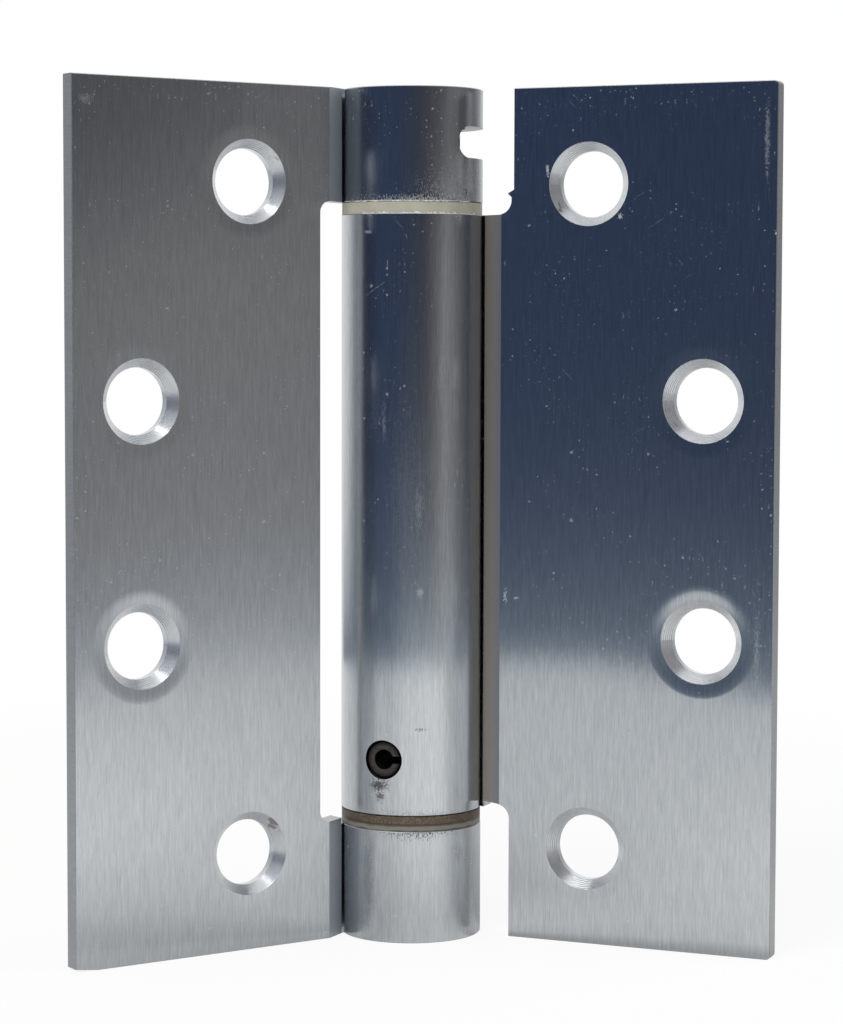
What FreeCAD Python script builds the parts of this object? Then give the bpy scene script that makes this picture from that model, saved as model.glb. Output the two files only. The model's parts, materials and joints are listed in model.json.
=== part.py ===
import FreeCAD, Part
import math
import os
import Sketcher

# Adjustable spring hinge: two rolled leaves, a torsion spring in the barrel and its adjuster.
# +Z runs up the pin line, with the origin on that line at the hinge's lower end. The frame leaf reaches
# along -X with its countersunk face towards -Y. The door leaf is swung partly open about the pin line.
# Lengths are millimetres and angles are degrees.

# Sizes that can be set by themselves.
SIZES = (
    # Leaves
    ("leaf_height", "114.3"),
    ("leaf_reach", "50.8"),
    ("sheet_gauge", "2.4"),
    ("barrel_diameter", "19.05"),
    ("front_setback", "0.92"),
    ("crease_reach", "12.6"),
    ("bend_radius", "1.0"),
    ("seam_gap", "0.33"),
    ("knuckle_length", "15.1"),
    ("open_angle", "122.8"),
    ("notch_reach", "14.05"),
    ("frame_notch_corner", "1.5"),
    ("door_notch_corner", "1.9"),
    ("root_step", "0.8"),
    ("root_margin", "0.1"),
    ("corner_clip_run", "3.3"),
    ("corner_clip_rise", "0.4"),
    ("door_corner_radius", "0.6"),
    ("edge_break", "0.1"),
    ("overcut", "2.0"),
    # Nib left where two punch strokes meet in the door leaf's upper notch
    ("nib_level", "2.3"),
    ("nib_height", "1.0"),
    ("nib_reach", "0.55"),
    ("nib_step", "0.35"),
    # Screw holes
    ("inner_hole_reach", "24.95"),
    ("outer_hole_reach", "41.0"),
    ("inner_hole_spacing", "88.6"),
    ("outer_hole_spacing", "31.6"),
    ("screw_hole_diameter", "8.75"),
    ("countersink_diameter", "11.1"),
    ("countersink_angle", "82.0"),
    # Washers
    ("top_washer_thickness", "1.55"),
    ("thrust_washer_thickness", "1.0"),
    ("lower_washer_thickness", "1.0"),
    ("washer_inset", "0.06"),
    ("washer_play", "0.15"),
    # Fits
    ("running_clearance", "0.075"),
    ("press_clearance", "0.02"),
    ("end_play", "0.1"),
    # Adjusting slot in the top knuckle
    ("slot_height", "4.2"),
    ("slot_below_top", "7.2"),
    ("slot_half_sweep", "83.6"),
    # Tension adjuster
    ("adjuster_recess", "0.4"),
    ("adjuster_stem", "22.0"),
    ("waist_relief", "0.6"),
    ("waist_margin", "0.4"),
    ("socket_width", "6.35"),
    ("socket_depth", "4.2"),
    ("tension_hole_diameter", "3.6"),
    ("tension_hole_depth", "3.2"),
    ("tension_hole_count", "4"),
    ("turned_chamfer", "0.5"),
    # Spring, rod and anchor
    ("rod_diameter", "6.0"),
    ("rod_floor", "4.0"),
    ("rod_socket", "12.0"),
    ("wire_size", "2.3"),
    ("coil_clearance", "0.45"),
    ("coil_gap", "0.3"),
    ("coil_runs", "12"),
    ("leg_length", "3.5"),
    ("leg_clearance", "0.2"),
    ("anchor_length", "10.0"),
    # Roll pin
    ("pin_level", "7.5"),
    ("pin_diameter", "5.25"),
    ("pin_bore", "2.7"),
    ("pin_slit", "1.0"),
    ("pin_recess", "0.45"),
    ("pin_chamfer", "0.35"),
    ("pin_tip_gap", "0.5"),
)

# Levels, radii and reaches that follow from them.
DERIVED = (
    ("barrel_radius", "=barrel_diameter / 2"),
    ("bore_radius", "=barrel_radius - sheet_gauge"),
    ("knuckle_clear", "=barrel_radius + overcut"),
    ("back_face", "=front_setback + sheet_gauge"),
    # The sheet bends back at the crease and runs straight until it is tangent to the roll.
    ("crease_distance", "=sqrt(crease_reach ^ 2 + front_setback ^ 2)"),
    ("crease_bearing", "=asin(front_setback / crease_distance) / 1deg"),
    ("roll_bearing", "=crease_bearing + acos(bore_radius / crease_distance) / 1deg"),
    ("roll_in_x", "=bore_radius * cos(roll_bearing * 1deg)"),
    ("roll_in_y", "=bore_radius * sin(roll_bearing * 1deg)"),
    ("roll_out_x", "=barrel_radius * cos(roll_bearing * 1deg)"),
    ("roll_out_y", "=barrel_radius * sin(roll_bearing * 1deg)"),
    ("crease_back_run", "=barrel_radius - back_face * sin(roll_bearing * 1deg)"),
    ("crease_back_reach", "=crease_back_run / cos(roll_bearing * 1deg)"),
    # The sheet's free end stops a seam's width short of that straight run.
    ("seam_bearing", "=acos(bore_radius / barrel_radius) / 1deg"),
    ("seam_angle", "=roll_bearing - seam_bearing - seam_gap / barrel_radius * 180 / pi"),
    ("seam_in_x", "=bore_radius * cos(seam_angle * 1deg)"),
    ("seam_in_y", "=bore_radius * sin(seam_angle * 1deg)"),
    ("seam_out_x", "=barrel_radius * cos(seam_angle * 1deg)"),
    ("seam_out_y", "=barrel_radius * sin(seam_angle * 1deg)"),
    ("door_swing", "=180 - open_angle"),
    # Heights of the knuckles, the barrel and the washers
    ("lower_washer_top", "=knuckle_length + lower_washer_thickness"),
    ("barrel_bottom", "=lower_washer_top + thrust_washer_thickness + end_play"),
    ("top_knuckle_bottom", "=leaf_height - knuckle_length"),
    ("barrel_top", "=top_knuckle_bottom - top_washer_thickness - end_play"),
    ("washer_outer", "=2 * (barrel_radius - washer_inset)"),
    ("washer_inner", "=2 * (bore_radius + washer_play)"),
    # Notches
    ("root_reach", "=barrel_radius + root_margin"),
    ("frame_notch_floor", "=knuckle_length + root_step"),
    ("frame_arc_reach", "=notch_reach - frame_notch_corner"),
    ("frame_arc_low", "=frame_notch_floor + frame_notch_corner"),
    ("frame_arc_high", "=top_knuckle_bottom - frame_notch_corner"),
    ("door_arc_reach", "=notch_reach - door_notch_corner"),
    ("door_arc_high", "=barrel_top + door_notch_corner"),
    ("door_notch_ceiling", "=barrel_bottom + root_step"),
    ("door_arc_low", "=door_notch_ceiling - door_notch_corner"),
    ("nib_low", "=barrel_top + nib_level"),
    ("nib_high", "=nib_low + nib_height"),
    ("nib_peak", "=nib_low + nib_height / 2"),
    ("nib_tip", "=notch_reach - nib_reach"),
    ("upper_notch_reach", "=notch_reach + nib_step"),
    ("above_leaf", "=leaf_height + overcut"),
    ("corner_clip_reach", "=leaf_reach - corner_clip_run"),
    # Screw hole levels
    ("inner_hole_low", "=(leaf_height - inner_hole_spacing) / 2"),
    ("inner_hole_high", "=(leaf_height + inner_hole_spacing) / 2"),
    ("outer_hole_low", "=(leaf_height - outer_hole_spacing) / 2"),
    ("outer_hole_high", "=(leaf_height + outer_hole_spacing) / 2"),
    # Adjusting slot: a swept cut with a round hole at each end
    ("slot_level", "=leaf_height - slot_below_top"),
    ("slot_low", "=slot_level - slot_height / 2"),
    ("slot_high", "=slot_level + slot_height / 2"),
    ("slot_end_angle", "=slot_half_sweep - asin(slot_height / barrel_diameter) / 1deg"),
    ("slot_sweep", "=2 * slot_end_angle"),
    ("slot_depth_radius", "=bore_radius - overcut"),
    # Turned fits
    ("land_radius", "=bore_radius - running_clearance"),
    ("pressed_radius", "=bore_radius - press_clearance"),
    ("rod_radius", "=rod_diameter / 2"),
    ("rod_running_radius", "=rod_radius + running_clearance"),
    ("rod_pressed_radius", "=rod_radius + press_clearance"),
    # Tension adjuster
    ("adjuster_top", "=leaf_height - adjuster_recess"),
    ("adjuster_bottom", "=barrel_top - adjuster_stem"),
    ("adjuster_top_break", "=adjuster_top - turned_chamfer"),
    ("land_break_radius", "=land_radius - turned_chamfer"),
    ("waist_radius", "=land_radius - waist_relief"),
    ("waist_low", "=slot_low - waist_margin"),
    ("waist_high", "=slot_high + waist_margin"),
    ("socket_half", "=socket_width / 2"),
    ("socket_corner", "=socket_width / sqrt(3)"),
    ("socket_half_side", "=socket_corner / 2"),
    ("rod_top", "=adjuster_bottom + rod_socket"),
    ("rod_socket_top", "=rod_top + end_play"),
    ("tension_hole_inner", "=waist_radius - tension_hole_depth"),
    ("tension_hole_cut", "=tension_hole_depth + overcut"),
    # Anchor, roll pin and bottom plug
    ("pin_height", "=barrel_bottom + pin_level"),
    ("anchor_bottom", "=pin_height - anchor_length / 2"),
    ("anchor_top", "=anchor_bottom + anchor_length"),
    ("plug_top", "=anchor_bottom - end_play"),
    ("plug_shoulder", "=knuckle_length - end_play"),
    ("plug_break_radius", "=pressed_radius - turned_chamfer"),
    ("rod_break_radius", "=rod_radius - turned_chamfer"),
    ("rod_top_break", "=rod_top - turned_chamfer"),
    ("pin_hole_diameter", "=pin_diameter + 2 * press_clearance"),
    ("pin_radius", "=pin_diameter / 2"),
    ("pin_bore_radius", "=pin_bore / 2"),
    ("pin_slit_half", "=pin_slit / 2"),
    ("pin_slit_outer", "=sqrt(pin_radius ^ 2 - pin_slit_half ^ 2)"),
    ("pin_slit_inner", "=sqrt(pin_bore_radius ^ 2 - pin_slit_half ^ 2)"),
    ("pin_slit_low", "=pin_height - pin_slit_half"),
    ("pin_slit_high", "=pin_height + pin_slit_half"),
    ("pin_start", "=rod_running_radius + pin_tip_gap"),
    ("pin_length", "=barrel_radius - pin_recess - pin_start"),
    # Coil and its legs
    ("coil_outer", "=bore_radius - coil_clearance"),
    ("coil_inner", "=coil_outer - wire_size"),
    ("coil_low_under", "=anchor_top + end_play"),
    ("coil_low_over", "=coil_low_under + wire_size"),
    ("coil_rise", "=adjuster_bottom - end_play - coil_low_over"),
    ("coil_turns", "=floor(coil_rise / (wire_size + coil_gap))"),
    ("coil_high_under", "=coil_low_under + coil_rise"),
    ("leg_outer", "=coil_outer - leg_clearance"),
    ("leg_width", "=wire_size - leg_clearance"),
    ("leg_bottom", "=coil_low_under - leg_length"),
    ("leg_run", "=leg_length + wire_size"),
    ("leg_slot_inner", "=coil_inner - leg_clearance"),
    ("leg_slot_width", "=leg_width + leg_clearance"),
    ("leg_slot_depth", "=leg_length + end_play"),
)

doc = FreeCAD.newDocument("spring_hinge")
sheet = doc.addObject("Spreadsheet::Sheet", "sizes")
for row, (name, text) in enumerate(SIZES + DERIVED, start=1):
    sheet.set(f"A{row}", name)
    sheet.set(f"B{row}", text)
    sheet.setAlias(f"B{row}", name)
doc.recompute()

FULL_TURN = 360.0
PLANES = {"top": "XY_Plane", "front": "XZ_Plane", "side": "YZ_Plane"}
DOOR_TURN = FreeCAD.Rotation(FreeCAD.Vector(0, 0, -1), 1.0)


def size(name):
    """The number that a size has now; a minus sign before the name turns it round."""
    if name == "0":
        return 0.0
    sign = -1.0 if name.startswith("-") else 1.0
    return sign * float(sheet.get(name.lstrip("-")))


def bound(name):
    """The expression that ties a property to a size."""
    return f"-sizes.{name[1:]}" if name.startswith("-") else f"sizes.{name}"


def tie(target, prop, name):
    """Bind one property of a feature to a size."""
    target.setExpression(prop, bound(name))


def swing_with_door(subpart):
    """Turn a sub-part about the pin line to where the door leaf stands."""
    subpart.Placement = FreeCAD.Placement(FreeCAD.Vector(), DOOR_TURN)
    tie(subpart, "Placement.Rotation.Angle", "door_swing")


def new_body(label, on_door=False):
    """An empty sub-part. What belongs to the door leaf is swung with it."""
    body = doc.addObject("PartDesign::Body", label)
    body.Label = label
    if on_door:
        swing_with_door(body)
    return body


def new_sketch(body, plane, name, lift=None, turn=None):
    """A sketch on one of the body's own planes, lifted along its normal or turned about its upright."""
    sketch = body.newObject("Sketcher::SketchObject", name)
    role = PLANES[plane]
    origin_plane = next(f for f in body.Origin.OriginFeatures if f.Role == role)
    sketch.AttachmentSupport = [(origin_plane, "")]
    sketch.MapMode = "FlatFace"
    if turn:
        upright = FreeCAD.Rotation(FreeCAD.Vector(0, 1, 0), 1.0)
        sketch.AttachmentOffset = FreeCAD.Placement(FreeCAD.Vector(), upright)
        tie(sketch, "AttachmentOffset.Rotation.Angle", turn)
    if lift:
        tie(sketch, "AttachmentOffset.Base.z", lift)
    return sketch


def place(sketch, geometry, point, axis, name):
    """Fix one coordinate of a sketch point to a size, measured from the pin line or the base."""
    if name == "0":
        axis_line = -2 if axis == "X" else -1
        sketch.addConstraint(Sketcher.Constraint("PointOnObject", geometry, point, axis_line))
        return
    number = sketch.addConstraint(
        Sketcher.Constraint("Distance" + axis, -1, 1, geometry, point, size(name)))
    tie(sketch, f"Constraints[{number}]", name)


def outline(sketch, corners, arcs=None):
    """Draw a closed outline through corners. arcs gives, by its first corner, an edge's centre and radius,
    with turn 1 for an arc drawn anticlockwise and -1 for one drawn clockwise."""
    arcs = arcs or {}
    count = len(corners)
    points = [FreeCAD.Vector(size(x), size(y), 0) for x, y in corners]
    ends = []
    for index, start in enumerate(points):
        finish = points[(index + 1) % count]
        if index not in arcs:
            ends.append((sketch.addGeometry(Part.LineSegment(start, finish)), 1, 2))
            continue
        (centre_x, centre_y), radius, turn = arcs[index]
        centre = FreeCAD.Vector(size(centre_x), size(centre_y), 0)
        first, last = (start, finish) if turn > 0 else (finish, start)
        begin = math.atan2(first.y - centre.y, first.x - centre.x)
        stop = math.atan2(last.y - centre.y, last.x - centre.x)
        circle = Part.Circle(centre, FreeCAD.Vector(0, 0, 1), size(radius))
        geometry = sketch.addGeometry(Part.ArcOfCircle(circle, begin, stop))
        ends.append((geometry, 1, 2) if turn > 0 else (geometry, 2, 1))
    for index, (geometry, _, tail) in enumerate(ends):
        follower, head, _ = ends[(index + 1) % count]
        sketch.addConstraint(Sketcher.Constraint("Coincident", geometry, tail, follower, head))
    for (geometry, head, _), (x, y) in zip(ends, corners):
        place(sketch, geometry, head, "X", x)
        place(sketch, geometry, head, "Y", y)
    for index, (_, radius, _) in arcs.items():
        number = sketch.addConstraint(Sketcher.Constraint("Radius", ends[index][0], size(radius)))
        tie(sketch, f"Constraints[{number}]", radius)


def circle(sketch, x, y, diameter):
    """Draw one circle at a named place."""
    centre = FreeCAD.Vector(size(x), size(y), 0)
    drawn = Part.Circle(centre, FreeCAD.Vector(0, 0, 1), size(diameter) / 2)
    geometry = sketch.addGeometry(drawn)
    place(sketch, geometry, 3, "X", x)
    place(sketch, geometry, 3, "Y", y)
    number = sketch.addConstraint(Sketcher.Constraint("Diameter", geometry, size(diameter)))
    tie(sketch, f"Constraints[{number}]", diameter)


def pad(body, sketch, length, reverse=False):
    """Add the sketch's area, raised by a named length."""
    feature = body.newObject("PartDesign::Pad", sketch.Name + "_pad")
    feature.Profile = sketch
    feature.Reversed = reverse
    tie(feature, "Length", length)
    doc.recompute()
    return feature


def cut(body, feature):
    """Recompute a cutting feature and make sure that it took material away."""
    before = body.Tip.BaseFeature.Shape.Volume
    doc.recompute()
    if not feature.Shape.Volume < before:
        raise ValueError(f"{feature.Name} cut nothing")
    return feature


def pocket(body, sketch, length=None, reverse=False):
    """Cut the sketch's area to a named depth, or right through both ways."""
    feature = body.newObject("PartDesign::Pocket", sketch.Name + "_cut")
    feature.Profile = sketch
    feature.Reversed = reverse
    if length:
        tie(feature, "Length", length)
    else:
        feature.Type = "ThroughAll"
        feature.SideType = "Symmetric"
    return cut(body, feature)


def revolve(body, sketch):
    """Turn the sketch's area once round the pin line."""
    feature = body.newObject("PartDesign::Revolution", sketch.Name + "_turned")
    feature.Profile = sketch
    feature.ReferenceAxis = (sketch, ["V_Axis"])
    feature.Angle = FULL_TURN
    doc.recompute()
    return feature


def break_edges(body, kind, prop, amount, chosen):
    """Round or chamfer the edges of the body's tip that the test picks out."""
    base = body.Tip
    names = [f"Edge{i}" for i, edge in enumerate(base.Shape.Edges, start=1) if chosen(edge)]
    feature = body.newObject("PartDesign::" + kind, f"{body.Name}_{kind.lower()}_{amount}")
    feature.Base = (base, names)
    tie(feature, prop, amount)
    doc.recompute()
    return feature


def near(value, name):
    """Whether a coordinate lies on a named size."""
    return abs(value - size(name)) < 1e-4


def lies_at(edge, axis, name):
    """Whether a whole edge lies at one coordinate."""
    box = edge.BoundBox
    return near(getattr(box, axis + "Min"), name) and near(getattr(box, axis + "Max"), name)


def on_rim(edge, level):
    """Whether an edge is the outer rim of the barrel or of a knuckle at one level."""
    round_edge = isinstance(edge.Curve, Part.Circle)
    return round_edge and near(edge.Curve.Radius, "barrel_radius") and lies_at(edge, "Z", level)


def sheared_edge(edge, side):
    """Whether an edge runs along the leaf's free edge or along its front or back at top or bottom."""
    if not isinstance(edge.Curve, Part.Line):
        return False
    if lies_at(edge, "X", side + "leaf_reach"):
        return edge.BoundBox.ZLength > size("leaf_height") / 2
    at_end = lies_at(edge, "Z", "0") or lies_at(edge, "Z", "leaf_height")
    on_face = lies_at(edge, "Y", "front_setback") or lies_at(edge, "Y", "back_face")
    return at_end and on_face


def rolled_leaf(body, side):
    """The sheet's section, flat leaf, bend and roll, drawn from above and raised to the leaf's height.

    side is "-" for a leaf that reaches along -X and "" for one along +X.
    """
    turn = 1 if side else -1
    sketch = new_sketch(body, "top", body.Name + "_section")
    corners = [
        (side + "leaf_reach", "front_setback"),
        (side + "crease_reach", "front_setback"),
        (side + "roll_in_x", "roll_in_y"),
        (side + "seam_in_x", "seam_in_y"),
        (side + "seam_out_x", "seam_out_y"),
        (side + "roll_out_x", "roll_out_y"),
        (side + "crease_back_reach", "back_face"),
        (side + "leaf_reach", "back_face"),
    ]
    outline(sketch, corners, {
        2: (("0", "0"), "bore_radius", -turn),
        4: (("0", "0"), "barrel_radius", turn),
    })
    pad(body, sketch, "leaf_height")

    def back_crease(edge):
        return lies_at(edge, "X", side + "crease_back_reach") and lies_at(edge, "Y", "back_face")

    break_edges(body, "Fillet", "Radius", "bend_radius", back_crease)


def screw_holes(body, side):
    """Four countersunk holes, sunk from the front face."""
    sketch = new_sketch(body, "front", body.Name + "_screws", lift="-front_setback")
    for reach, levels in (
        ("inner_hole_reach", ("inner_hole_low", "inner_hole_high")),
        ("outer_hole_reach", ("outer_hole_low", "outer_hole_high")),
    ):
        for level in levels:
            circle(sketch, side + reach, level, "screw_hole_diameter")
    doc.recompute()
    holes = body.newObject("PartDesign::Hole", body.Name + "_countersinks")
    holes.Profile = sketch
    holes.DepthType = "ThroughAll"
    holes.ThreadType = "None"
    holes.HoleCutType = "Countersink"
    holes.HoleCutCustomValues = True
    tie(holes, "Diameter", "screw_hole_diameter")
    tie(holes, "HoleCutDiameter", "countersink_diameter")
    tie(holes, "HoleCutCountersinkAngle", "countersink_angle")
    return cut(body, holes)


def ring(label, bottom, thickness, on_door=False):
    """A flat washer that lies round the plug or the adjuster."""
    body = new_body(label, on_door)
    sketch = new_sketch(body, "top", label + "_ring", lift=bottom)
    circle(sketch, "0", "0", "washer_outer")
    circle(sketch, "0", "0", "washer_inner")
    pad(body, sketch, thickness)
    return body


def frame_leaf():
    """The leaf for the door frame, with a short knuckle at each end and the adjusting slot."""
    body = new_body("frame_leaf")
    rolled_leaf(body, "-")
    notch = new_sketch(body, "front", "frame_notch")
    corners = [
        ("knuckle_clear", "knuckle_length"),
        ("knuckle_clear", "top_knuckle_bottom"),
        ("-frame_arc_reach", "top_knuckle_bottom"),
        ("-notch_reach", "frame_arc_high"),
        ("-notch_reach", "frame_arc_low"),
        ("-frame_arc_reach", "frame_notch_floor"),
        ("-root_reach", "frame_notch_floor"),
        ("-root_reach", "knuckle_length"),
    ]
    outline(notch, corners, {
        2: (("-frame_arc_reach", "frame_arc_high"), "frame_notch_corner", 1),
        4: (("-frame_arc_reach", "frame_arc_low"), "frame_notch_corner", 1),
    })
    pocket(body, notch)
    screw_holes(body, "-")
    slot = new_sketch(body, "front", "adjusting_slot")
    outline(slot, [
        ("slot_depth_radius", "slot_low"),
        ("knuckle_clear", "slot_low"),
        ("knuckle_clear", "slot_high"),
        ("slot_depth_radius", "slot_high"),
    ])
    sweep = body.newObject("PartDesign::Groove", "adjusting_slot_sweep")
    sweep.Profile = slot
    sweep.ReferenceAxis = (slot, ["V_Axis"])
    sweep.Midplane = True
    tie(sweep, "Angle", "slot_sweep")
    cut(body, sweep)
    for label, turn in (("left", "slot_end_angle"), ("right", "-slot_end_angle")):
        end = new_sketch(body, "side", f"slot_end_{label}", turn=turn)
        circle(end, "0", "slot_level", "slot_height")
        pocket(body, end, "knuckle_clear", reverse=True)
    break_edges(body, "Chamfer", "Size", "edge_break",
                lambda edge: sheared_edge(edge, "-") or any(
                    on_rim(edge, level) for level in ("knuckle_length", "top_knuckle_bottom")))
    clip = new_sketch(body, "front", "frame_corner_clip")
    outline(clip, [
        ("-leaf_reach", "0"),
        ("-corner_clip_reach", "0"),
        ("-leaf_reach", "corner_clip_rise"),
    ])
    pocket(body, clip)
    return body


def door_leaf():
    """The leaf for the door, rolled into the long barrel between the knuckles."""
    body = new_body("door_leaf", on_door=True)
    rolled_leaf(body, "")
    upper = new_sketch(body, "front", "upper_notch")
    outline(upper, [
        ("-knuckle_clear", "barrel_top"),
        ("door_arc_reach", "barrel_top"),
        ("notch_reach", "door_arc_high"),
        ("notch_reach", "nib_low"),
        ("nib_tip", "nib_peak"),
        ("upper_notch_reach", "nib_high"),
        ("upper_notch_reach", "above_leaf"),
        ("-knuckle_clear", "above_leaf"),
    ], {1: (("door_arc_reach", "door_arc_high"), "door_notch_corner", 1)})
    pocket(body, upper)
    lower = new_sketch(body, "front", "lower_notch")
    outline(lower, [
        ("-knuckle_clear", "-overcut"),
        ("notch_reach", "-overcut"),
        ("notch_reach", "door_arc_low"),
        ("door_arc_reach", "door_notch_ceiling"),
        ("root_reach", "door_notch_ceiling"),
        ("root_reach", "barrel_bottom"),
        ("-knuckle_clear", "barrel_bottom"),
    ], {2: (("door_arc_reach", "door_arc_low"), "door_notch_corner", 1)})
    pocket(body, lower)
    screw_holes(body, "")
    cross = new_sketch(body, "front", "roll_pin_hole")
    circle(cross, "0", "pin_height", "pin_hole_diameter")
    pocket(body, cross, "knuckle_clear", reverse=True)
    break_edges(body, "Fillet", "Radius", "door_corner_radius",
                lambda edge: lies_at(edge, "X", "leaf_reach") and edge.BoundBox.ZLength < 1e-6)
    break_edges(body, "Chamfer", "Size", "edge_break",
                lambda edge: sheared_edge(edge, "") or any(
                    on_rim(edge, level) for level in ("barrel_bottom", "barrel_top")))
    return body


def bottom_plug():
    """The turned plug in the bottom knuckle, which centres the washers and holds the rod."""
    body = new_body("bottom_plug")
    profile = new_sketch(body, "front", "bottom_plug_profile")
    outline(profile, [
        ("0", "0"),
        ("plug_break_radius", "0"),
        ("pressed_radius", "turned_chamfer"),
        ("pressed_radius", "plug_shoulder"),
        ("land_radius", "plug_shoulder"),
        ("land_radius", "plug_top"),
        ("rod_pressed_radius", "plug_top"),
        ("rod_pressed_radius", "rod_floor"),
        ("0", "rod_floor"),
    ])
    revolve(body, profile)
    return body


def center_rod():
    """The rod on the pin line, from the bottom plug up into the adjuster."""
    body = new_body("center_rod")
    profile = new_sketch(body, "front", "center_rod_profile")
    outline(profile, [
        ("0", "rod_floor"),
        ("rod_radius", "rod_floor"),
        ("rod_radius", "rod_top_break"),
        ("rod_break_radius", "rod_top"),
        ("0", "rod_top"),
    ])
    revolve(body, profile)
    return body


def leg_slot(body, level, name, near_y, far_y, reverse):
    """A slot milled in an end face for one leg of the spring."""
    sketch = new_sketch(body, "top", name, lift=level)
    outline(sketch, [
        ("leg_slot_inner", near_y),
        ("knuckle_clear", near_y),
        ("knuckle_clear", far_y),
        ("leg_slot_inner", far_y),
    ])
    return pocket(body, sketch, "leg_slot_depth", reverse)


def spring_anchor():
    """The plug that the roll pin holds in the barrel and that takes the spring's lower leg."""
    body = new_body("spring_anchor", on_door=True)
    profile = new_sketch(body, "front", "anchor_profile")
    outline(profile, [
        ("rod_running_radius", "anchor_bottom"),
        ("pressed_radius", "anchor_bottom"),
        ("pressed_radius", "anchor_top"),
        ("rod_running_radius", "anchor_top"),
    ])
    revolve(body, profile)
    leg_slot(body, "anchor_top", "anchor_slot", "-leg_slot_width", "leg_clearance", False)
    cross = new_sketch(body, "front", "anchor_cross_hole")
    circle(cross, "0", "pin_height", "pin_hole_diameter")
    pocket(body, cross, "knuckle_clear", reverse=True)
    return body


def anchor_roll_pin():
    """The slotted spring pin through the barrel's wall into the anchor."""
    body = new_body("anchor_roll_pin", on_door=True)
    section = new_sketch(body, "front", "roll_pin_section", lift="pin_start")
    outline(section, [
        ("pin_slit_outer", "pin_slit_high"),
        ("pin_slit_outer", "pin_slit_low"),
        ("pin_slit_inner", "pin_slit_low"),
        ("pin_slit_inner", "pin_slit_high"),
    ], {
        0: (("0", "pin_height"), "pin_radius", 1),
        2: (("0", "pin_height"), "pin_bore_radius", -1),
    })
    pad(body, section, "pin_length")
    rim = size("pin_radius")
    break_edges(body, "Chamfer", "Size", "pin_chamfer",
                lambda edge: edge.BoundBox.YLength < 1e-6 and abs(edge.BoundBox.XMin + rim) < 1e-4)
    return body


def flat_face(*points):
    """One flat facet through three or four points."""
    return Part.Face(Part.makePolygon(list(points) + [points[0]]))


def torsion_spring():
    """The coil, wound left-handed so that turning its top clockwise tightens it, with a leg at each end.

    Each turn is a ring of short straight runs, which keeps the faces of so many turns few.
    """
    turn_runs = round(size("coil_runs"))
    runs = turn_runs * round(size("coil_turns"))
    inner, outer = size("coil_inner"), size("coil_outer")
    under, over = size("coil_low_under"), size("coil_low_over")
    section = ((inner, under), (outer, under), (outer, over), (inner, over))
    wire = [FreeCAD.Vector(x, 0, z) for x, z in section]
    stations = []
    for step in range(runs + 1):
        turn = FreeCAD.Rotation(FreeCAD.Vector(0, 0, 1), -FULL_TURN * step / turn_runs)
        lift = FreeCAD.Vector(0, 0, size("coil_rise") * step / runs)
        stations.append([turn.multVec(corner) + lift for corner in wire])
    facets = [flat_face(*stations[0]), flat_face(*stations[-1])]
    for low, high in zip(stations, stations[1:]):
        for left, right in ((0, 1), (1, 2), (2, 3), (3, 0)):
            facets.append(flat_face(low[left], low[right], high[right]))
            facets.append(flat_face(low[left], high[right], high[left]))
    coil = Part.makeSolid(Part.makeShell(facets)).removeSplitter()
    width, run = size("leg_width"), size("leg_run")
    reach = size("leg_outer") - inner
    legs = [
        Part.makeBox(reach, width, run, FreeCAD.Vector(inner, -width, size("leg_bottom"))),
        Part.makeBox(reach, width, run, FreeCAD.Vector(inner, 0, size("coil_high_under"))),
    ]
    spring = doc.addObject("Part::Feature", "torsion_spring")
    spring.Shape = coil.fuse(legs)
    swing_with_door(spring)
    return spring


def tension_adjuster():
    """The turned plug in the top knuckle: hex socket on top, tension holes behind the slot, spring below."""
    body = new_body("tension_adjuster", on_door=True)
    profile = new_sketch(body, "front", "adjuster_profile")
    outline(profile, [
        ("rod_running_radius", "adjuster_bottom"),
        ("land_radius", "adjuster_bottom"),
        ("land_radius", "waist_low"),
        ("waist_radius", "waist_low"),
        ("waist_radius", "waist_high"),
        ("land_radius", "waist_high"),
        ("land_radius", "adjuster_top_break"),
        ("land_break_radius", "adjuster_top"),
        ("0", "adjuster_top"),
        ("0", "rod_socket_top"),
        ("rod_running_radius", "rod_socket_top"),
    ])
    revolve(body, profile)
    socket = new_sketch(body, "top", "hex_socket", lift="adjuster_top")
    outline(socket, [
        ("socket_corner", "0"),
        ("socket_half_side", "socket_half"),
        ("-socket_half_side", "socket_half"),
        ("-socket_corner", "0"),
        ("-socket_half_side", "-socket_half"),
        ("socket_half_side", "-socket_half"),
    ])
    pocket(body, socket, "socket_depth")
    hole = new_sketch(body, "side", "tension_hole", lift="tension_hole_inner")
    circle(hole, "0", "slot_level", "tension_hole_diameter")
    first = pocket(body, hole, "tension_hole_cut", reverse=True)
    holes = body.newObject("PartDesign::PolarPattern", "tension_holes")
    holes.Originals = [first]
    holes.Axis = (profile, ["V_Axis"])
    holes.Angle = FULL_TURN
    tie(holes, "Occurrences", "tension_hole_count")
    body.Tip = holes
    doc.recompute()
    leg_slot(body, "adjuster_bottom", "adjuster_slot", "-leg_clearance", "leg_slot_width", True)
    return body


subparts = [
    frame_leaf(),
    door_leaf(),
    ring("top_washer", "barrel_top", "top_washer_thickness", on_door=True),
    ring("thrust_washer", "lower_washer_top", "thrust_washer_thickness"),
    ring("lower_washer", "knuckle_length", "lower_washer_thickness"),
    bottom_plug(),
    center_rod(),
    spring_anchor(),
    anchor_roll_pin(),
    torsion_spring(),
    tension_adjuster(),
]
doc.recompute()

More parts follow.
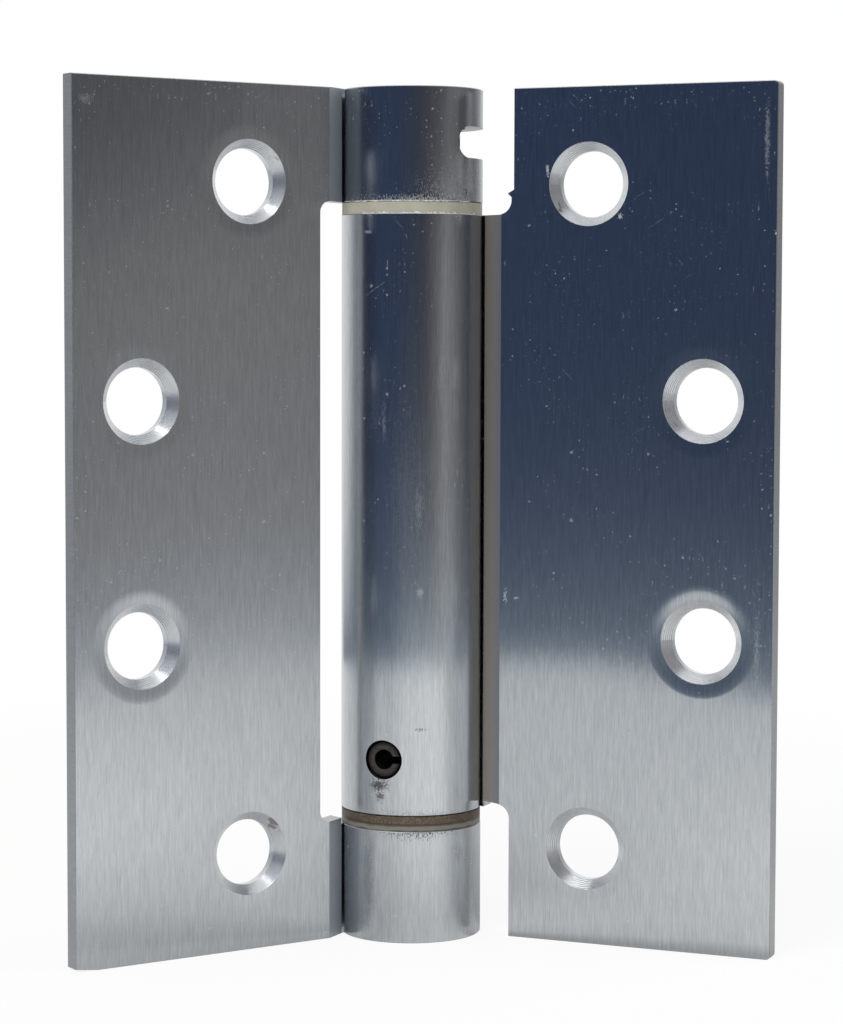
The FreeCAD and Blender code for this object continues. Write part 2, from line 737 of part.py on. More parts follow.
for item in doc.Objects:
    if "Invalid" in item.State or "Error" in item.State:
        raise ValueError(f"{item.Label} failed")
for subpart in subparts:
    if subpart.Shape.isNull() or not subpart.Shape.isValid():
        raise ValueError(f"{subpart.Label} has no valid shape")
os.makedirs("parts", exist_ok=True)
for subpart in subparts:
    subpart.Shape.exportStep(f"parts/{subpart.Label}.step")
    print(subpart.Label, len(subpart.Shape.Solids), round(subpart.Shape.Volume, 2))
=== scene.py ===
# %% [markdown]
# # A plated spring hinge for a door
# The hinge stands upright and partly open, like a book seen from its inside. Its two leaves are steel sheet
# rolled round one pin line, plated and brushed lengthwise. The solids already have their true shapes, so
# this script gives them their finish, adds the small burrs that are too fine for the solids, puts a merged
# copy in place of the spring, and lights the whole.

# %% Load the frame
import bpy
import bmesh
import json
import math
import random
from mathutils import Matrix, Vector


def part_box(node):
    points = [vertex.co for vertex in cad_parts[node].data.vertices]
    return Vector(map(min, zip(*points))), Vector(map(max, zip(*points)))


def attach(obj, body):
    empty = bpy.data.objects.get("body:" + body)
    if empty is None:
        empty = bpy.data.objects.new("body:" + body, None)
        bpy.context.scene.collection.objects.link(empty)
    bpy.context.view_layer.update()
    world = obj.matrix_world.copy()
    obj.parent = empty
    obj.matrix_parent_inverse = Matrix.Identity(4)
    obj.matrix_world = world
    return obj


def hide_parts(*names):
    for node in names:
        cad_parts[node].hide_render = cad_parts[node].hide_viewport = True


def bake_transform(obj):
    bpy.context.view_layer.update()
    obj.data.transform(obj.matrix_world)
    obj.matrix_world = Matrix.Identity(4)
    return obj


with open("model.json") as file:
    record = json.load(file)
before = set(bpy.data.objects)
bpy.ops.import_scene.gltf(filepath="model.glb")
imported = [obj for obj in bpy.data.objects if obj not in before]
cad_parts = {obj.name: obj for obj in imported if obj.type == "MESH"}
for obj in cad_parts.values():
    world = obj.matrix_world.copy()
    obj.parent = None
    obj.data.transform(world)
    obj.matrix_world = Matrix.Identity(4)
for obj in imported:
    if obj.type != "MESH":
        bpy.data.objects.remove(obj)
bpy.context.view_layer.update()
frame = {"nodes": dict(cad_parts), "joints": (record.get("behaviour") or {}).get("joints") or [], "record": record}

MM = 0.001
nodes = frame["nodes"]
print("nodes:", sorted(nodes))

# %% [markdown]
# ## Where things are
# The pin line is the Z axis. The frame leaf reaches along -X, and the door leaf is swung about the pin
# line. The hinge joint's upper limit is the leaf laid flat along +X, so that limit is also the angle by
# which the door leaf stands away from +X now. A place on a leaf is told the same way on both: its reach
# from the pin line, its depth through the sheet, and its level above the table, all in millimetres.

# %% Angles and levels from the frame
swing = next(joint for joint in frame["joints"] if joint["name"] == "leaf_swing")
DOOR_SWING = math.radians(swing["range_deg"][1])
HALF_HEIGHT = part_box("frame_leaf")[1].z / MM / 2
BARREL_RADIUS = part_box("frame_leaf")[1].x
# Each leaf's turn about the pin line, and whether it is told from right to left.
LEAVES = {"frame_leaf": (0.0, True), "door_leaf": (DOOR_SWING, False)}


def on_leaf(leaf, vector):
    """A direction or place in metres, told as reach, depth and level along a leaf."""
    turn, mirrored = LEAVES[leaf]
    told = Matrix.Rotation(turn, 3, "Z") @ vector
    return Vector((-told.x if mirrored else told.x, told.y, told.z))


print("door swing", round(math.degrees(DOOR_SWING), 2), "barrel radius mm", round(BARREL_RADIUS / MM, 3))

# %% Screw holes and the sheet's two faces
mounts = {mount["name"]: mount for mount in frame["record"]["mounts"]}
INNER_REACH = -mounts["frame_inner_screws"]["pos_m"][0] / MM
OUTER_REACH = -mounts["frame_outer_screws"]["pos_m"][0] / MM
INNER_RISE = mounts["frame_inner_screws"]["dims"]["spacing_y_mm"] / 2
OUTER_RISE = mounts["frame_outer_screws"]["dims"]["spacing_y_mm"] / 2
COUNTERSINK_RADIUS = 5.55
LEAF_FACE = 0.92
LEAF_BACK = mounts["frame_leaf_back"]["pos_m"][1] / MM
HOLES = [(reach, HALF_HEIGHT + side * rise)
         for reach, rise in ((INNER_REACH, INNER_RISE), (OUTER_REACH, OUTER_RISE)) for side in (-1, 1)]
print("holes at reach and level in mm:", [(round(r, 2), round(z, 2)) for r, z in HOLES])

# %% [markdown]
# ## The camera
# The photograph was taken from close by with a long lens, a little above the hinge's middle. Fitting a
# camera to the leaf corners and the screw holes gave its place, so the perspective of both leaves comes out
# right.

# %% Make the camera
CAMERA_BEARING = math.radians(33.737)
CAMERA_HEADING = math.radians(33.926)
CAMERA_DISTANCE = 392.0 * MM
CAMERA_HEIGHT = 83.6 * MM
CAMERA_PITCH = math.radians(-3.826)
CAMERA_ROLL = math.radians(-0.141)
CAMERA_LENS = 101.48
CAMERA_NEAR = 10 * MM

camera = bpy.data.objects.new("camera", bpy.data.cameras.new("camera"))
camera.data.lens = CAMERA_LENS
camera.data.clip_start = CAMERA_NEAR
camera.location = (-CAMERA_DISTANCE * math.sin(CAMERA_BEARING), -CAMERA_DISTANCE * math.cos(CAMERA_BEARING),
                   CAMERA_HEIGHT)
camera.rotation_euler = (math.pi / 2 + CAMERA_PITCH, CAMERA_ROLL, -CAMERA_HEADING)
bpy.context.collection.objects.link(camera)
bpy.context.scene.camera = camera
print("camera at mm", [round(v / MM, 1) for v in camera.location])

# %% [markdown]
# ## Helpers for every material
# Colours are written as the sRGB hex values that a colour picker gives, and one function turns them to the
# linear numbers that a shader works in. A second small function adds a node with its settings and links.
# Two more give a piece a material, all over or only on the faces that pass a test.

# %% Colour and node helpers
COLOUR_A, COLOUR_B, COLOUR_OUT = 6, 7, 2
VECTOR_A, VECTOR_B, VECTOR_OUT = 4, 5, 1
NUMBER_A, NUMBER_B = 2, 3
WHITE = "#FFFFFF"
BLACK = "#000000"


def linear(hex_colour):
    """Linear RGBA of an sRGB hex colour such as '#AFB4B8'."""
    channels = [int(hex_colour[i:i + 2], 16) / 255 for i in (1, 3, 5)]
    return [c / 12.92 if c <= 0.04045 else ((c + 0.055) / 1.055) ** 2.4 for c in channels] + [1.0]


def add(tree, kind, links=None, values=None, stops=(), **settings):
    """A shader node: settings are its properties, values its constants, links its sources, stops its ramp."""
    made = tree.nodes.new("ShaderNode" + kind)
    for name, value in settings.items():
        setattr(made, name, value)
    for socket, value in (values or {}).items():
        made.inputs[socket].default_value = value
    for socket, source in (links or {}).items():
        tree.links.new(source, made.inputs[socket])
    for i, (position, colour) in enumerate(stops):
        spare = made.color_ramp.elements
        stop = spare[i] if i < 2 else spare.new(position)
        stop.position = position
        stop.color = colour
    return made


def new_material(name):
    """An empty node material and its output node."""
    material = bpy.data.materials.new(name)
    material.use_nodes = True
    material.node_tree.nodes.clear()
    return material, material.node_tree, add(material.node_tree, "OutputMaterial")


print("white is", linear(WHITE))


# %% Dressing helpers
def dress(node_name, material):
    """Give a whole piece one material."""
    slots = nodes[node_name].data.materials
    slots.clear()
    slots.append(material)
    print(material.name, "on", node_name)


def dress_faces(node_name, material, chosen):
    """Give the faces that pass a test a further material, and say how many there are."""
    mesh = nodes[node_name].data
    mesh.materials.append(material)
    picked = [face for face in mesh.polygons if chosen(face.center, face.normal)]
    for face in picked:
        face.material_index = len(mesh.materials) - 1
    print(material.name, "on", len(picked), "faces of", node_name)


print("pieces to dress:", len(nodes))

# %% [markdown]
# ## The stage
# Brushed metal has hardly a colour of its own: it shows what stands round it. The photograph's metal is
# dark blue above and pale below, because it mirrors an unlit room behind the camera and a white table in
# front. So the stage is a white floor and backdrop, with a shaded screen standing round the table's front
# edge. The screen is seen in reflections only, as a studio's black flags are, and the camera sees plain
# white.

# %% Tones round the hinge, and which rays see them
bpy.context.scene.view_settings.view_transform = "Standard"


def by_bearing(tree, tones):
    """A tone by the bearing from the camera's line of sight, in degrees, positive to the right."""
    spot = add(tree, "TexCoord").outputs["Object"]
    turned = add(tree, "Mapping", {"Vector": spot},
                 {"Rotation": (0, 0, CAMERA_HEADING + math.pi / 2)}).outputs[0]
    # The radial gradient reads 0.5 towards the camera and grows by 1 in a full turn to the right.
    bearing = add(tree, "TexGradient", {"Vector": turned}, gradient_type="RADIAL").outputs["Fac"]
    return add(tree, "ValToRGB", {"Fac": bearing},
               stops=[(0.5 + turn / 360, linear(tone)) for turn, tone in tones]).outputs["Color"]


def seen_directly(tree):
    """1 for rays from the camera, from a reflection or through glass, and 0 for diffuse light."""
    path = add(tree, "LightPath").outputs
    both = add(tree, "Math", {0: path["Is Camera Ray"], 1: path["Is Glossy Ray"]},
               operation="ADD").outputs[0]
    return add(tree, "Math", {0: both, 1: path["Is Transmission Ray"]},
               operation="ADD", use_clamp=True).outputs[0]


print("view transform", bpy.context.scene.view_settings.view_transform)

# %% Floor
FLOOR_HALF = 2000 * MM

floor_mesh = bpy.data.meshes.new("floor")
bm = bmesh.new()
bmesh.ops.create_grid(bm, x_segments=1, y_segments=1, size=FLOOR_HALF)
bm.to_mesh(floor_mesh)
bm.free()
floor = bpy.data.objects.new("floor", floor_mesh)
bpy.context.collection.objects.link(floor)
print("floor of", len(floor_mesh.polygons), "face")

# %% [markdown]
# ## The table top
# A white table in front of the hinge is what the lower half of the metal mirrors. It is lit most in front
# of the hinge, and close to it a little less, because the leaves keep light from it. To the camera it glows
# white, so that no horizon shows, and a share of plain paper mixed in keeps the hinge's shadow near its
# foot.

# %% White table top
FLOOR_SHADOW = 0.12
SHADOW_NEAR, SHADOW_FAR = 110 * MM, 300 * MM
CLOSE_BY, OPEN_FROM = 18 * MM, 95 * MM
CLOSE_TONE = "#E2E2E2"
PAPER = "#F2F2F0"
TABLE_TONES = (
    (-150, WHITE), (-88, "#C6C8CA"), (-47, "#E0E1E2"), (-39, "#D6D8DA"), (0, "#FAFAFA"), (36, WHITE),
    (56, "#F6F6F6"), (66, "#C6C6C6"), (76, "#E4E4E4"), (95, "#E8E8E8"), (112, "#C4C4C4"), (150, "#DADADA"),
)

# Matte paper, which gives the eye an even white with a soft shadow.
white_table, tree, output = new_material("white table top")
paper = add(tree, "BsdfDiffuse", values={"Color": linear(PAPER)})
spot = add(tree, "TexCoord").outputs["Object"]
away = add(tree, "VectorMath", {0: spot}, operation="LENGTH").outputs["Value"]
open_sky = add(tree, "MapRange", {"Value": away}, {"From Min": CLOSE_BY, "From Max": OPEN_FROM},
               interpolation_type="SMOOTHSTEP").outputs["Result"]
lit = add(tree, "Mix", {0: open_sky}, {COLOUR_A: linear(CLOSE_TONE), COLOUR_B: linear(WHITE)},
          data_type="RGBA").outputs[COLOUR_OUT]
mirrored_tone = add(tree, "Mix", {COLOUR_A: lit, COLOUR_B: by_bearing(tree, TABLE_TONES)}, {0: 1.0},
                    data_type="RGBA", blend_type="MULTIPLY").outputs[COLOUR_OUT]
in_mirror = add(tree, "LightPath").outputs["Is Glossy Ray"]
table_tone = add(tree, "Mix", {0: in_mirror, COLOUR_B: mirrored_tone}, {COLOUR_A: linear(WHITE)},
                 data_type="RGBA").outputs[COLOUR_OUT]
glow = add(tree, "Emission", {"Color": table_tone}, {"Strength": 1.0})
# The shadow is kept close to the hinge and fades out with distance.
kept = add(tree, "MapRange", {"Value": away},
           {"From Min": SHADOW_NEAR, "From Max": SHADOW_FAR, "To Min": 1.0 - FLOOR_SHADOW, "To Max": 1.0},
           interpolation_type="SMOOTHSTEP").outputs["Result"]
share = add(tree, "Math", {0: seen_directly(tree), 1: kept}, operation="MULTIPLY").outputs[0]
table_mix = add(tree, "MixShader", {0: share, 1: paper.outputs[0], 2: glow.outputs[0]})
tree.links.new(table_mix.outputs[0], output.inputs["Surface"])
floor_mesh.materials.append(white_table)
print(white_table.name, "keeps", FLOOR_SHADOW, "of the shadow")

# %% White backdrop
WORLD_FILL = 0.42

world = bpy.data.worlds.new("studio")
bpy.context.scene.world = world
world.use_nodes = True
tree = world.node_tree
tree.nodes.clear()
strength = add(tree, "MapRange", {"Value": seen_directly(tree)}, {"To Min": WORLD_FILL, "To Max": 1.0})
sky = add(tree, "Background", {"Strength": strength.outputs[0]}, {"Color": linear(WHITE)})
add(tree, "OutputWorld", {"Surface": sky.outputs[0]})
print("backdrop gives", WORLD_FILL, "as fill light")

# %% [markdown]
# ## The shaded screen
# A curved upright screen stands for the room. Its tone changes round the hinge, navy to the left of the
# camera and grey to the right, and it is paler near its foot, where a room is lit by the table. A spin of
# one upright edge makes it, and a ramp over the bearing and a fade over the height give its tone.

# %% Screen for the reflections
SCREEN_RADIUS = 316 * MM
SCREEN_HEIGHT = 600 * MM
SCREEN_FIRST, SCREEN_LAST = -150, 150
SCREEN_STEPS = 64

screen_mesh = bpy.data.meshes.new("room_screen")
bm = bmesh.new()
start = Matrix.Rotation(math.radians(SCREEN_FIRST) - CAMERA_HEADING, 3, "Z") @ Vector((0, -SCREEN_RADIUS, 0))
foot = bm.verts.new(start)
head = bm.verts.new(start + Vector((0, 0, SCREEN_HEIGHT)))
edge = bm.edges.new((foot, head))
bmesh.ops.spin(bm, geom=[foot, head, edge], cent=(0, 0, 0), axis=(0, 0, 1),
               angle=math.radians(SCREEN_LAST - SCREEN_FIRST), steps=SCREEN_STEPS)
bm.to_mesh(screen_mesh)
bm.free()

screen = bpy.data.objects.new("room_screen", screen_mesh)
for ray in ("camera", "diffuse", "transmission", "shadow"):
    setattr(screen, "visible_" + ray, False)
bpy.context.collection.objects.link(screen)
print("screen of", len(screen_mesh.polygons), "faces")

# %% Shaded card
FOOT_TONES = ((-110, "#7E8894"), (-40, "#7A8694"), (0, "#AEB6BE"), (64, "#C2C6CA"), (110, "#C2C6CA"))
FOOT_HALVES_IN = 18 * MM
SCREEN_TONES = (
    (-146, WHITE), (-128, "#F4F3F2"), (-110, "#AEB2B5"), (-98, "#6E7680"), (-84, "#36425A"), (-45, "#384560"),
    (-8, "#3B4459"), (22, "#45464F"), (45, "#7A7878"), (54, "#A29F9D"), (64, "#878483"), (90, "#7C7A7E"),
    (122, "#64656B"), (148, "#E0E0E0"),
)
# One corner of the room is dark above the height of the hinge.
DARK_CORNER = ((24, BLACK), (34, WHITE), (54, WHITE), (63, BLACK))
DARK_FROM, DARK_ALL = 95 * MM, 135 * MM
DARK_TONE = "#545358"

# Card lit from its foot, which gives the metal a soft change from dark to pale.
shaded_card, tree, output = new_material("shaded card")
spot = add(tree, "TexCoord").outputs["Object"]
level = add(tree, "SeparateXYZ", {0: spot}).outputs["Z"]
halvings = add(tree, "Math", {0: level}, {1: FOOT_HALVES_IN}, operation="DIVIDE").outputs[0]
haze = add(tree, "Math", {1: halvings}, {0: 0.5}, operation="POWER", use_clamp=True).outputs[0]
tall = add(tree, "MapRange", {"Value": level},
           {"From Min": DARK_FROM, "From Max": DARK_ALL}).outputs["Result"]
corner = add(tree, "Math", {0: tall, 1: by_bearing(tree, DARK_CORNER)}, operation="MULTIPLY").outputs[0]
room = add(tree, "Mix", {0: corner, COLOUR_A: by_bearing(tree, SCREEN_TONES)},
           {COLOUR_B: linear(DARK_TONE)}, data_type="RGBA").outputs[COLOUR_OUT]
tone = add(tree, "Mix", {0: haze, COLOUR_A: room, COLOUR_B: by_bearing(tree, FOOT_TONES)},
           data_type="RGBA").outputs[COLOUR_OUT]
card_glow = add(tree, "Emission", {"Color": tone}, {"Strength": 1.0})
tree.links.new(card_glow.outputs[0], output.inputs["Surface"])
screen_mesh.materials.append(shaded_card)
print(shaded_card.name, "with", len(tree.nodes), "nodes")

# %% [markdown]
# ## The lamps
# A studio lights metal with large soft boxes, so that no hard spot shows in it. Two area lamps stand for
# them, the brighter one to the left, and both are aimed at the hinge's middle.

# %% Soft lamps
# Name, place and width in metres, and power in watts.
LAMPS = (
    ("key_lamp", (-0.55, -0.25, 0.75), 0.6, 5.5),
    ("fill_lamp", (0.6, -0.3, 0.6), 0.6, 2.5),
)
for name, place, width, power in LAMPS:
    lamp = bpy.data.objects.new(name, bpy.data.lights.new(name, "AREA"))
    lamp.data.size = width
    lamp.data.energy = power
    lamp.location = place
    aim = Vector((0, 0, HALF_HEIGHT * MM)) - lamp.location
    lamp.rotation_euler = aim.to_track_quat("-Z", "Y").to_euler()
    bpy.context.collection.objects.link(lamp)
print("lamps:", [lamp[0] for lamp in LAMPS])

# %% [markdown]
# ## Places on a leaf, for the materials
# Every finish on a leaf is laid out along that leaf. A Mapping node turns Object coordinates to reach,
# depth and level in millimetres, so sizes can be written as they are on the bench. The four screw holes are
# told from the nearest one: folding the leaf at half height makes two holes of four, and a switch picks one
# of those two.


# %% Coordinates along a leaf
def leaf_millimetres(tree, leaf):
    """Reach, depth and level along a leaf, in millimetres."""
    turn, mirrored = LEAVES[leaf]
    place = add(tree, "TexCoord").outputs["Object"]
    return add(tree, "Mapping", {"Vector": place},
               {"Rotation": (0, 0, turn),
                "Scale": (-1 / MM if mirrored else 1 / MM, 1 / MM, 1 / MM)}).outputs[0]


def folded_level(tree, along):
    """Height above or below the hinge's middle, the same for both halves."""
    level = add(tree, "SeparateXYZ", {0: along}).outputs["Z"]
    from_middle = add(tree, "Math", {0: level}, {1: HALF_HEIGHT}, operation="SUBTRACT").outputs[0]
    return add(tree, "Math", {0: from_middle}, operation="ABSOLUTE").outputs[0]


def from_nearest_hole(tree, along, folded):
    """Place in the leaf's plane, measured from the nearest screw hole's axis."""
    reach = add(tree, "SeparateXYZ", {0: along}).outputs["X"]
    inner = add(tree, "Math", {0: folded}, {1: (INNER_RISE + OUTER_RISE) / 2},
                operation="GREATER_THAN").outputs[0]
    axis = add(tree, "Mix", {0: inner},
               {VECTOR_A: (OUTER_REACH, 0, OUTER_RISE), VECTOR_B: (INNER_REACH, 0, INNER_RISE)},
               data_type="VECTOR").outputs[VECTOR_OUT]
    here = add(tree, "CombineXYZ", {"X": reach, "Z": folded}).outputs[0]
    return add(tree, "VectorMath", {0: here, 1: axis}, operation="SUBTRACT").outputs[0]


print("hole axes fold to", (OUTER_REACH, OUTER_RISE), "and", (INNER_REACH, INNER_RISE))

# %% [markdown]
# ## Marks of use
# Rubbing leaves pale scuffs and dark smudges at places of their own. Each is told by its reach and level
# and by its half width and half height, and it lies on the flat or on the round of the rolled part,
# whichever is there. Its edge is broken up by noise, because real scuffs are made of many small scratches.
# Where a rim was dragged along another, the noise is drawn out upright, so the mark falls apart into
# strokes.

# %% Scuff helper
SCUFF_RAGGED = 4.0
STROKE_RAGGED = 6.0
MARK_FULL, MARK_GONE = 0.3, 0.7
LEAST_DEPTH = 1.0


def strongest_mark(tree, along, noise, ragged, marks):
    """How much of a mark lies at a place: the strongest of a list of soft, ragged spots."""
    strongest = None
    for reach, level, half_width, half_height, strength in marks:
        rolled = abs(reach) < BARREL_RADIUS / MM
        depth = -math.sqrt((BARREL_RADIUS / MM) ** 2 - reach ** 2) if rolled else LEAF_FACE
        near = add(tree, "Mapping", {"Vector": along},
                   {"Location": (reach, depth, level),
                    "Scale": (half_width, max(half_width, LEAST_DEPTH), half_height)},
                   vector_type="TEXTURE").outputs[0]
        far = add(tree, "VectorMath", {0: near}, operation="LENGTH").outputs["Value"]
        torn = add(tree, "Math", {0: noise, 2: far}, {1: ragged}, operation="MULTIPLY_ADD").outputs[0]
        spot = add(tree, "MapRange", {"Value": torn},
                   {"From Min": ragged / 2 + MARK_FULL, "From Max": ragged / 2 + MARK_GONE,
                    "To Min": strength, "To Max": 0.0},
                   interpolation_type="SMOOTHSTEP").outputs["Result"]
        if strongest:
            spot = add(tree, "Math", {0: strongest, 1: spot}, operation="MAXIMUM").outputs[0]
        strongest = spot
    return strongest


print("ragged:", SCUFF_RAGGED, STROKE_RAGGED)

# %% Where the marks lie
# Reach and level, half width and half height in millimetres, and strength.
PALE_SCUFFS = {
    "frame_leaf": ((48.8, 111.2, 1.2, 0.8, 0.2), (21.1, 98.8, 0.5, 0.25, 0.9)),
    "door_leaf": (
        (49.35, 106.6, 0.45, 6.4, 0.3), (50.6, 94.7, 0.25, 0.5, 0.9), (13.4, 46.5, 0.35, 1.5, 0.55),
        (14.9, 46.1, 0.5, 0.3, 0.5), (4.8, 47.2, 0.7, 1.1, 0.35), (-2.3, 95.1, 1.0, 0.35, 0.4),
        (16.6, 96.1, 0.5, 0.3, 0.4), (-0.2, 20.4, 1.8, 1.6, 0.5), (19.2, 103.4, 0.3, 1.2, 0.8),
        (29.4, 97.2, 0.5, 0.5, 0.8),
    ),
}
DARK_SMUDGES = {
    "frame_leaf": ((-2.5, 100.4, 0.15, 0.8, 0.8),),
    "door_leaf": ((4.9, 28.9, 1.1, 0.35, 0.5), (-0.5, 21.2, 1.9, 1.4, 0.9), (-0.4, 19.8, 1.0, 1.1, 0.8)),
}
PALE_STROKES = {
    "frame_leaf": ((4.0, 99.2, 9.0, 0.8, 0.5), (-1.0, 100.6, 5.0, 2.6, 0.25)),
    "door_leaf": (
        (48.6, 41.3, 0.4, 6.0, 0.2), (9.2, 36.5, 0.4, 6.8, 0.2), (3.2, 61.0, 2.4, 9.0, 0.07),
        (4.65, 58.4, 0.5, 3.2, 0.22), (0.1, 70.0, 0.3, 2.7, 0.2), (7.1, 76.6, 0.4, 4.0, 0.18),
    ),
}
DARK_STROKES = {
    "frame_leaf": ((4.6, 15.3, 4.4, 1.0, 0.85), (9.0, 7.7, 0.5, 6.5, 0.3)),
    "door_leaf": ((4.0, 17.2, 7.0, 0.8, 0.3),),
}
MARKS = (PALE_SCUFFS, DARK_SMUDGES, PALE_STROKES, DARK_STROKES)
print("marks:", {leaf: sum(len(marks[leaf]) for marks in MARKS) for leaf in LEAVES})

# %% [markdown]
# ## The grain of plated steel
# The sheet was ground with a belt that ran along the pin line and then plated, so fine upright lines cover
# it. Noise that is drawn out along the pin line makes them: one for the hairlines and one for the broader
# streaks.

# %% Belt grain
# How wide, deep and tall the hairlines and the streaks are, in millimetres.
GRAIN = (0.14, 0.14, 2.0)
STREAK = (0.32, 0.32, 4.5)
DARKEST_GRAIN, PALEST_GRAIN = 0.6, 1.4
DARK_GRAIN, PALE_GRAIN = "#B4B9BD", "#D4D7DA"


def belt_grain(tree, along):
    """The tint that the ground lines give the metal, and the hairlines by themselves."""
    grains = []
    for size in (GRAIN, STREAK):
        drawn = add(tree, "Mapping", {"Vector": along}, {"Scale": size}, vector_type="TEXTURE").outputs[0]
        grains.append(add(tree, "TexNoise", {"Vector": drawn},
                          {"Scale": 1.0, "Detail": 3.0, "Roughness": 0.6}).outputs["Fac"])
    both = add(tree, "Math", {0: grains[0], 1: grains[1]}, operation="ADD").outputs[0]
    contrast = add(tree, "MapRange", {"Value": both},
                   {"From Min": DARKEST_GRAIN, "From Max": PALEST_GRAIN}).outputs["Result"]
    tint = add(tree, "Mix", {0: contrast}, {COLOUR_A: linear(DARK_GRAIN), COLOUR_B: linear(PALE_GRAIN)},
               data_type="RGBA").outputs[COLOUR_OUT]
    return tint, grains[0]


print("grain in mm:", GRAIN, "and", STREAK)

# %% [markdown]
# ## Specks and scratches
# Handling leaves bright specks and short scratches, which gather in patches. They are laid out on the sheet
# as it was before it was rolled, so that they follow the round of the barrel. Each pattern is a set of
# cells, and a few of the cells hold one mark each. They are too many to place by hand.

# %% Speck helpers
# The size of a cell that may hold a mark, its turn, how rare large marks are, and their strength.
WEAR = (
    ((1.2, 1.2, 1.0), 0.0, 6.0, 0.42),
    ((0.7, 0.7, 1.0), 0.0, 5.0, 0.32),
    ((3.5, 0.6, 1.0), math.pi / 2, 14.0, 0.25),
    ((16.0, 0.35, 1.0), 0.55, 28.0, 0.2),
    ((13.0, 0.35, 1.0), -0.8, 28.0, 0.2),
)
LARGEST_MARK = 0.19
PATCH = 9.0
PATCH_STARTS, PATCH_FULL = 0.36, 0.68


def flat_pattern(tree, along):
    """The sheet as it was before it was rolled: reach, or the way round the roll, and level."""
    part = add(tree, "SeparateXYZ", {0: along}).outputs
    round_it = add(tree, "Math", {0: part["Y"], 1: part["X"]}, operation="ARCTAN2").outputs[0]
    arc = add(tree, "Math", {0: round_it}, {1: BARREL_RADIUS / MM}, operation="MULTIPLY").outputs[0]
    rolled = add(tree, "Math", {0: part["X"]}, {1: BARREL_RADIUS / MM}, operation="LESS_THAN").outputs[0]
    reach = add(tree, "Mix", {0: rolled, NUMBER_A: part["X"], NUMBER_B: arc}, data_type="FLOAT").outputs[0]
    return add(tree, "CombineXYZ", {"X": reach, "Y": part["Z"]}).outputs[0]


def worn_specks(tree, unrolled, cell_size, turn, rarity, strength):
    """Small bright marks inside a few of the cells of a Voronoi pattern of a given size and turn."""
    patches = add(tree, "TexNoise", {"Vector": unrolled},
                  {"Scale": 1 / PATCH, "Detail": 2.0}).outputs["Fac"]
    worn = add(tree, "MapRange", {"Value": patches},
               {"From Min": PATCH_STARTS, "From Max": PATCH_FULL}).outputs["Result"]
    laid = add(tree, "Mapping", {"Vector": unrolled}, {"Rotation": (0, 0, turn), "Scale": cell_size},
               vector_type="TEXTURE").outputs[0]
    cell = add(tree, "TexVoronoi", {"Vector": laid}, {"Scale": 1.0}, voronoi_dimensions="2D").outputs
    chance = add(tree, "SeparateColor", {0: cell["Color"]}).outputs[0]
    rarer = add(tree, "Math", {0: chance}, {1: rarity}, operation="POWER").outputs[0]
    largest = add(tree, "Math", {0: worn}, {1: LARGEST_MARK}, operation="MULTIPLY").outputs[0]
    size = add(tree, "Math", {0: rarer, 1: largest}, operation="MULTIPLY").outputs[0]
    inside = add(tree, "Math", {0: cell["Distance"], 1: size}, operation="LESS_THAN").outputs[0]
    return add(tree, "Math", {0: inside}, {1: strength}, operation="MULTIPLY").outputs[0]


print("speck cells in mm:", [row[0][:2] for row in WEAR])

# %% Rubbed and grimy places
FUZZ = 0.25
STROKE = (0.12, 0.12, 0.3)
# How far noise shifts the outline of a speck, in millimetres.
BROKEN = 0.6


def rubs_and_grime(tree, along, leaf):
    """How far the plating is rubbed pale at a place, and how dirty it is."""
    fuzz = add(tree, "TexNoise", {"Vector": along},
               {"Scale": 1 / FUZZ, "Detail": 4.0, "Roughness": 0.75}).outputs
    drawn = add(tree, "Mapping", {"Vector": along}, {"Scale": STROKE}, vector_type="TEXTURE").outputs[0]
    strokes = add(tree, "TexNoise", {"Vector": drawn}, {"Scale": 1.0, "Detail": 2.0}).outputs["Fac"]
    scuffed = strongest_mark(tree, along, fuzz["Fac"], SCUFF_RAGGED, PALE_SCUFFS[leaf])
    dragged = strongest_mark(tree, along, strokes, STROKE_RAGGED, PALE_STROKES[leaf])
    rubbed = add(tree, "Math", {0: scuffed, 1: dragged}, operation="MAXIMUM").outputs[0]
    shift = add(tree, "VectorMath", {0: fuzz["Color"]}, {1: (0.5, 0.5, 0.5)},
                operation="SUBTRACT").outputs[0]
    unrolled = add(tree, "VectorMath", {0: shift, 2: flat_pattern(tree, along)},
                   {1: (BROKEN, BROKEN, 0.0)}, operation="MULTIPLY_ADD").outputs[0]
    for wear in WEAR:
        specks = worn_specks(tree, unrolled, *wear)
        rubbed = add(tree, "Math", {0: rubbed, 1: specks}, operation="MAXIMUM").outputs[0]
    smudge = strongest_mark(tree, along, fuzz["Fac"], SCUFF_RAGGED, DARK_SMUDGES[leaf])
    dirt = strongest_mark(tree, along, strokes, STROKE_RAGGED, DARK_STROKES[leaf])
    grimy = add(tree, "Math", {0: smudge, 1: dirt}, operation="MAXIMUM").outputs[0]
    return rubbed, grimy


print("scuffs of", FUZZ, "mm and strokes of", STROKE, "mm")

# %% [markdown]
# ## What the press left
# The sheet isn't quite flat. It dips round each countersink, rolls over at the sheared ends and is a little
# wavy, each by less than a tenth of a millimetre. Its outer part is twisted, by less than two degrees. None
# of that shows in the outline, but a surface that mirrors its surroundings bends what it reflects. So it is
# made as bump.

# %% Press marks
GRAIN_DEPTH = 0.003
WAVE_LENGTH = 26.0
WAVE_DEPTH = 0.012
TWIST_STARTS = 26.0
TWIST = 0.0005
DISH_INSIDE, DISH_WIDTH = 1.0, 2.0
DISH_DEPTH = 0.085
ROLL_OVER = 2.0
ROLL_OVER_DEPTH = 0.03


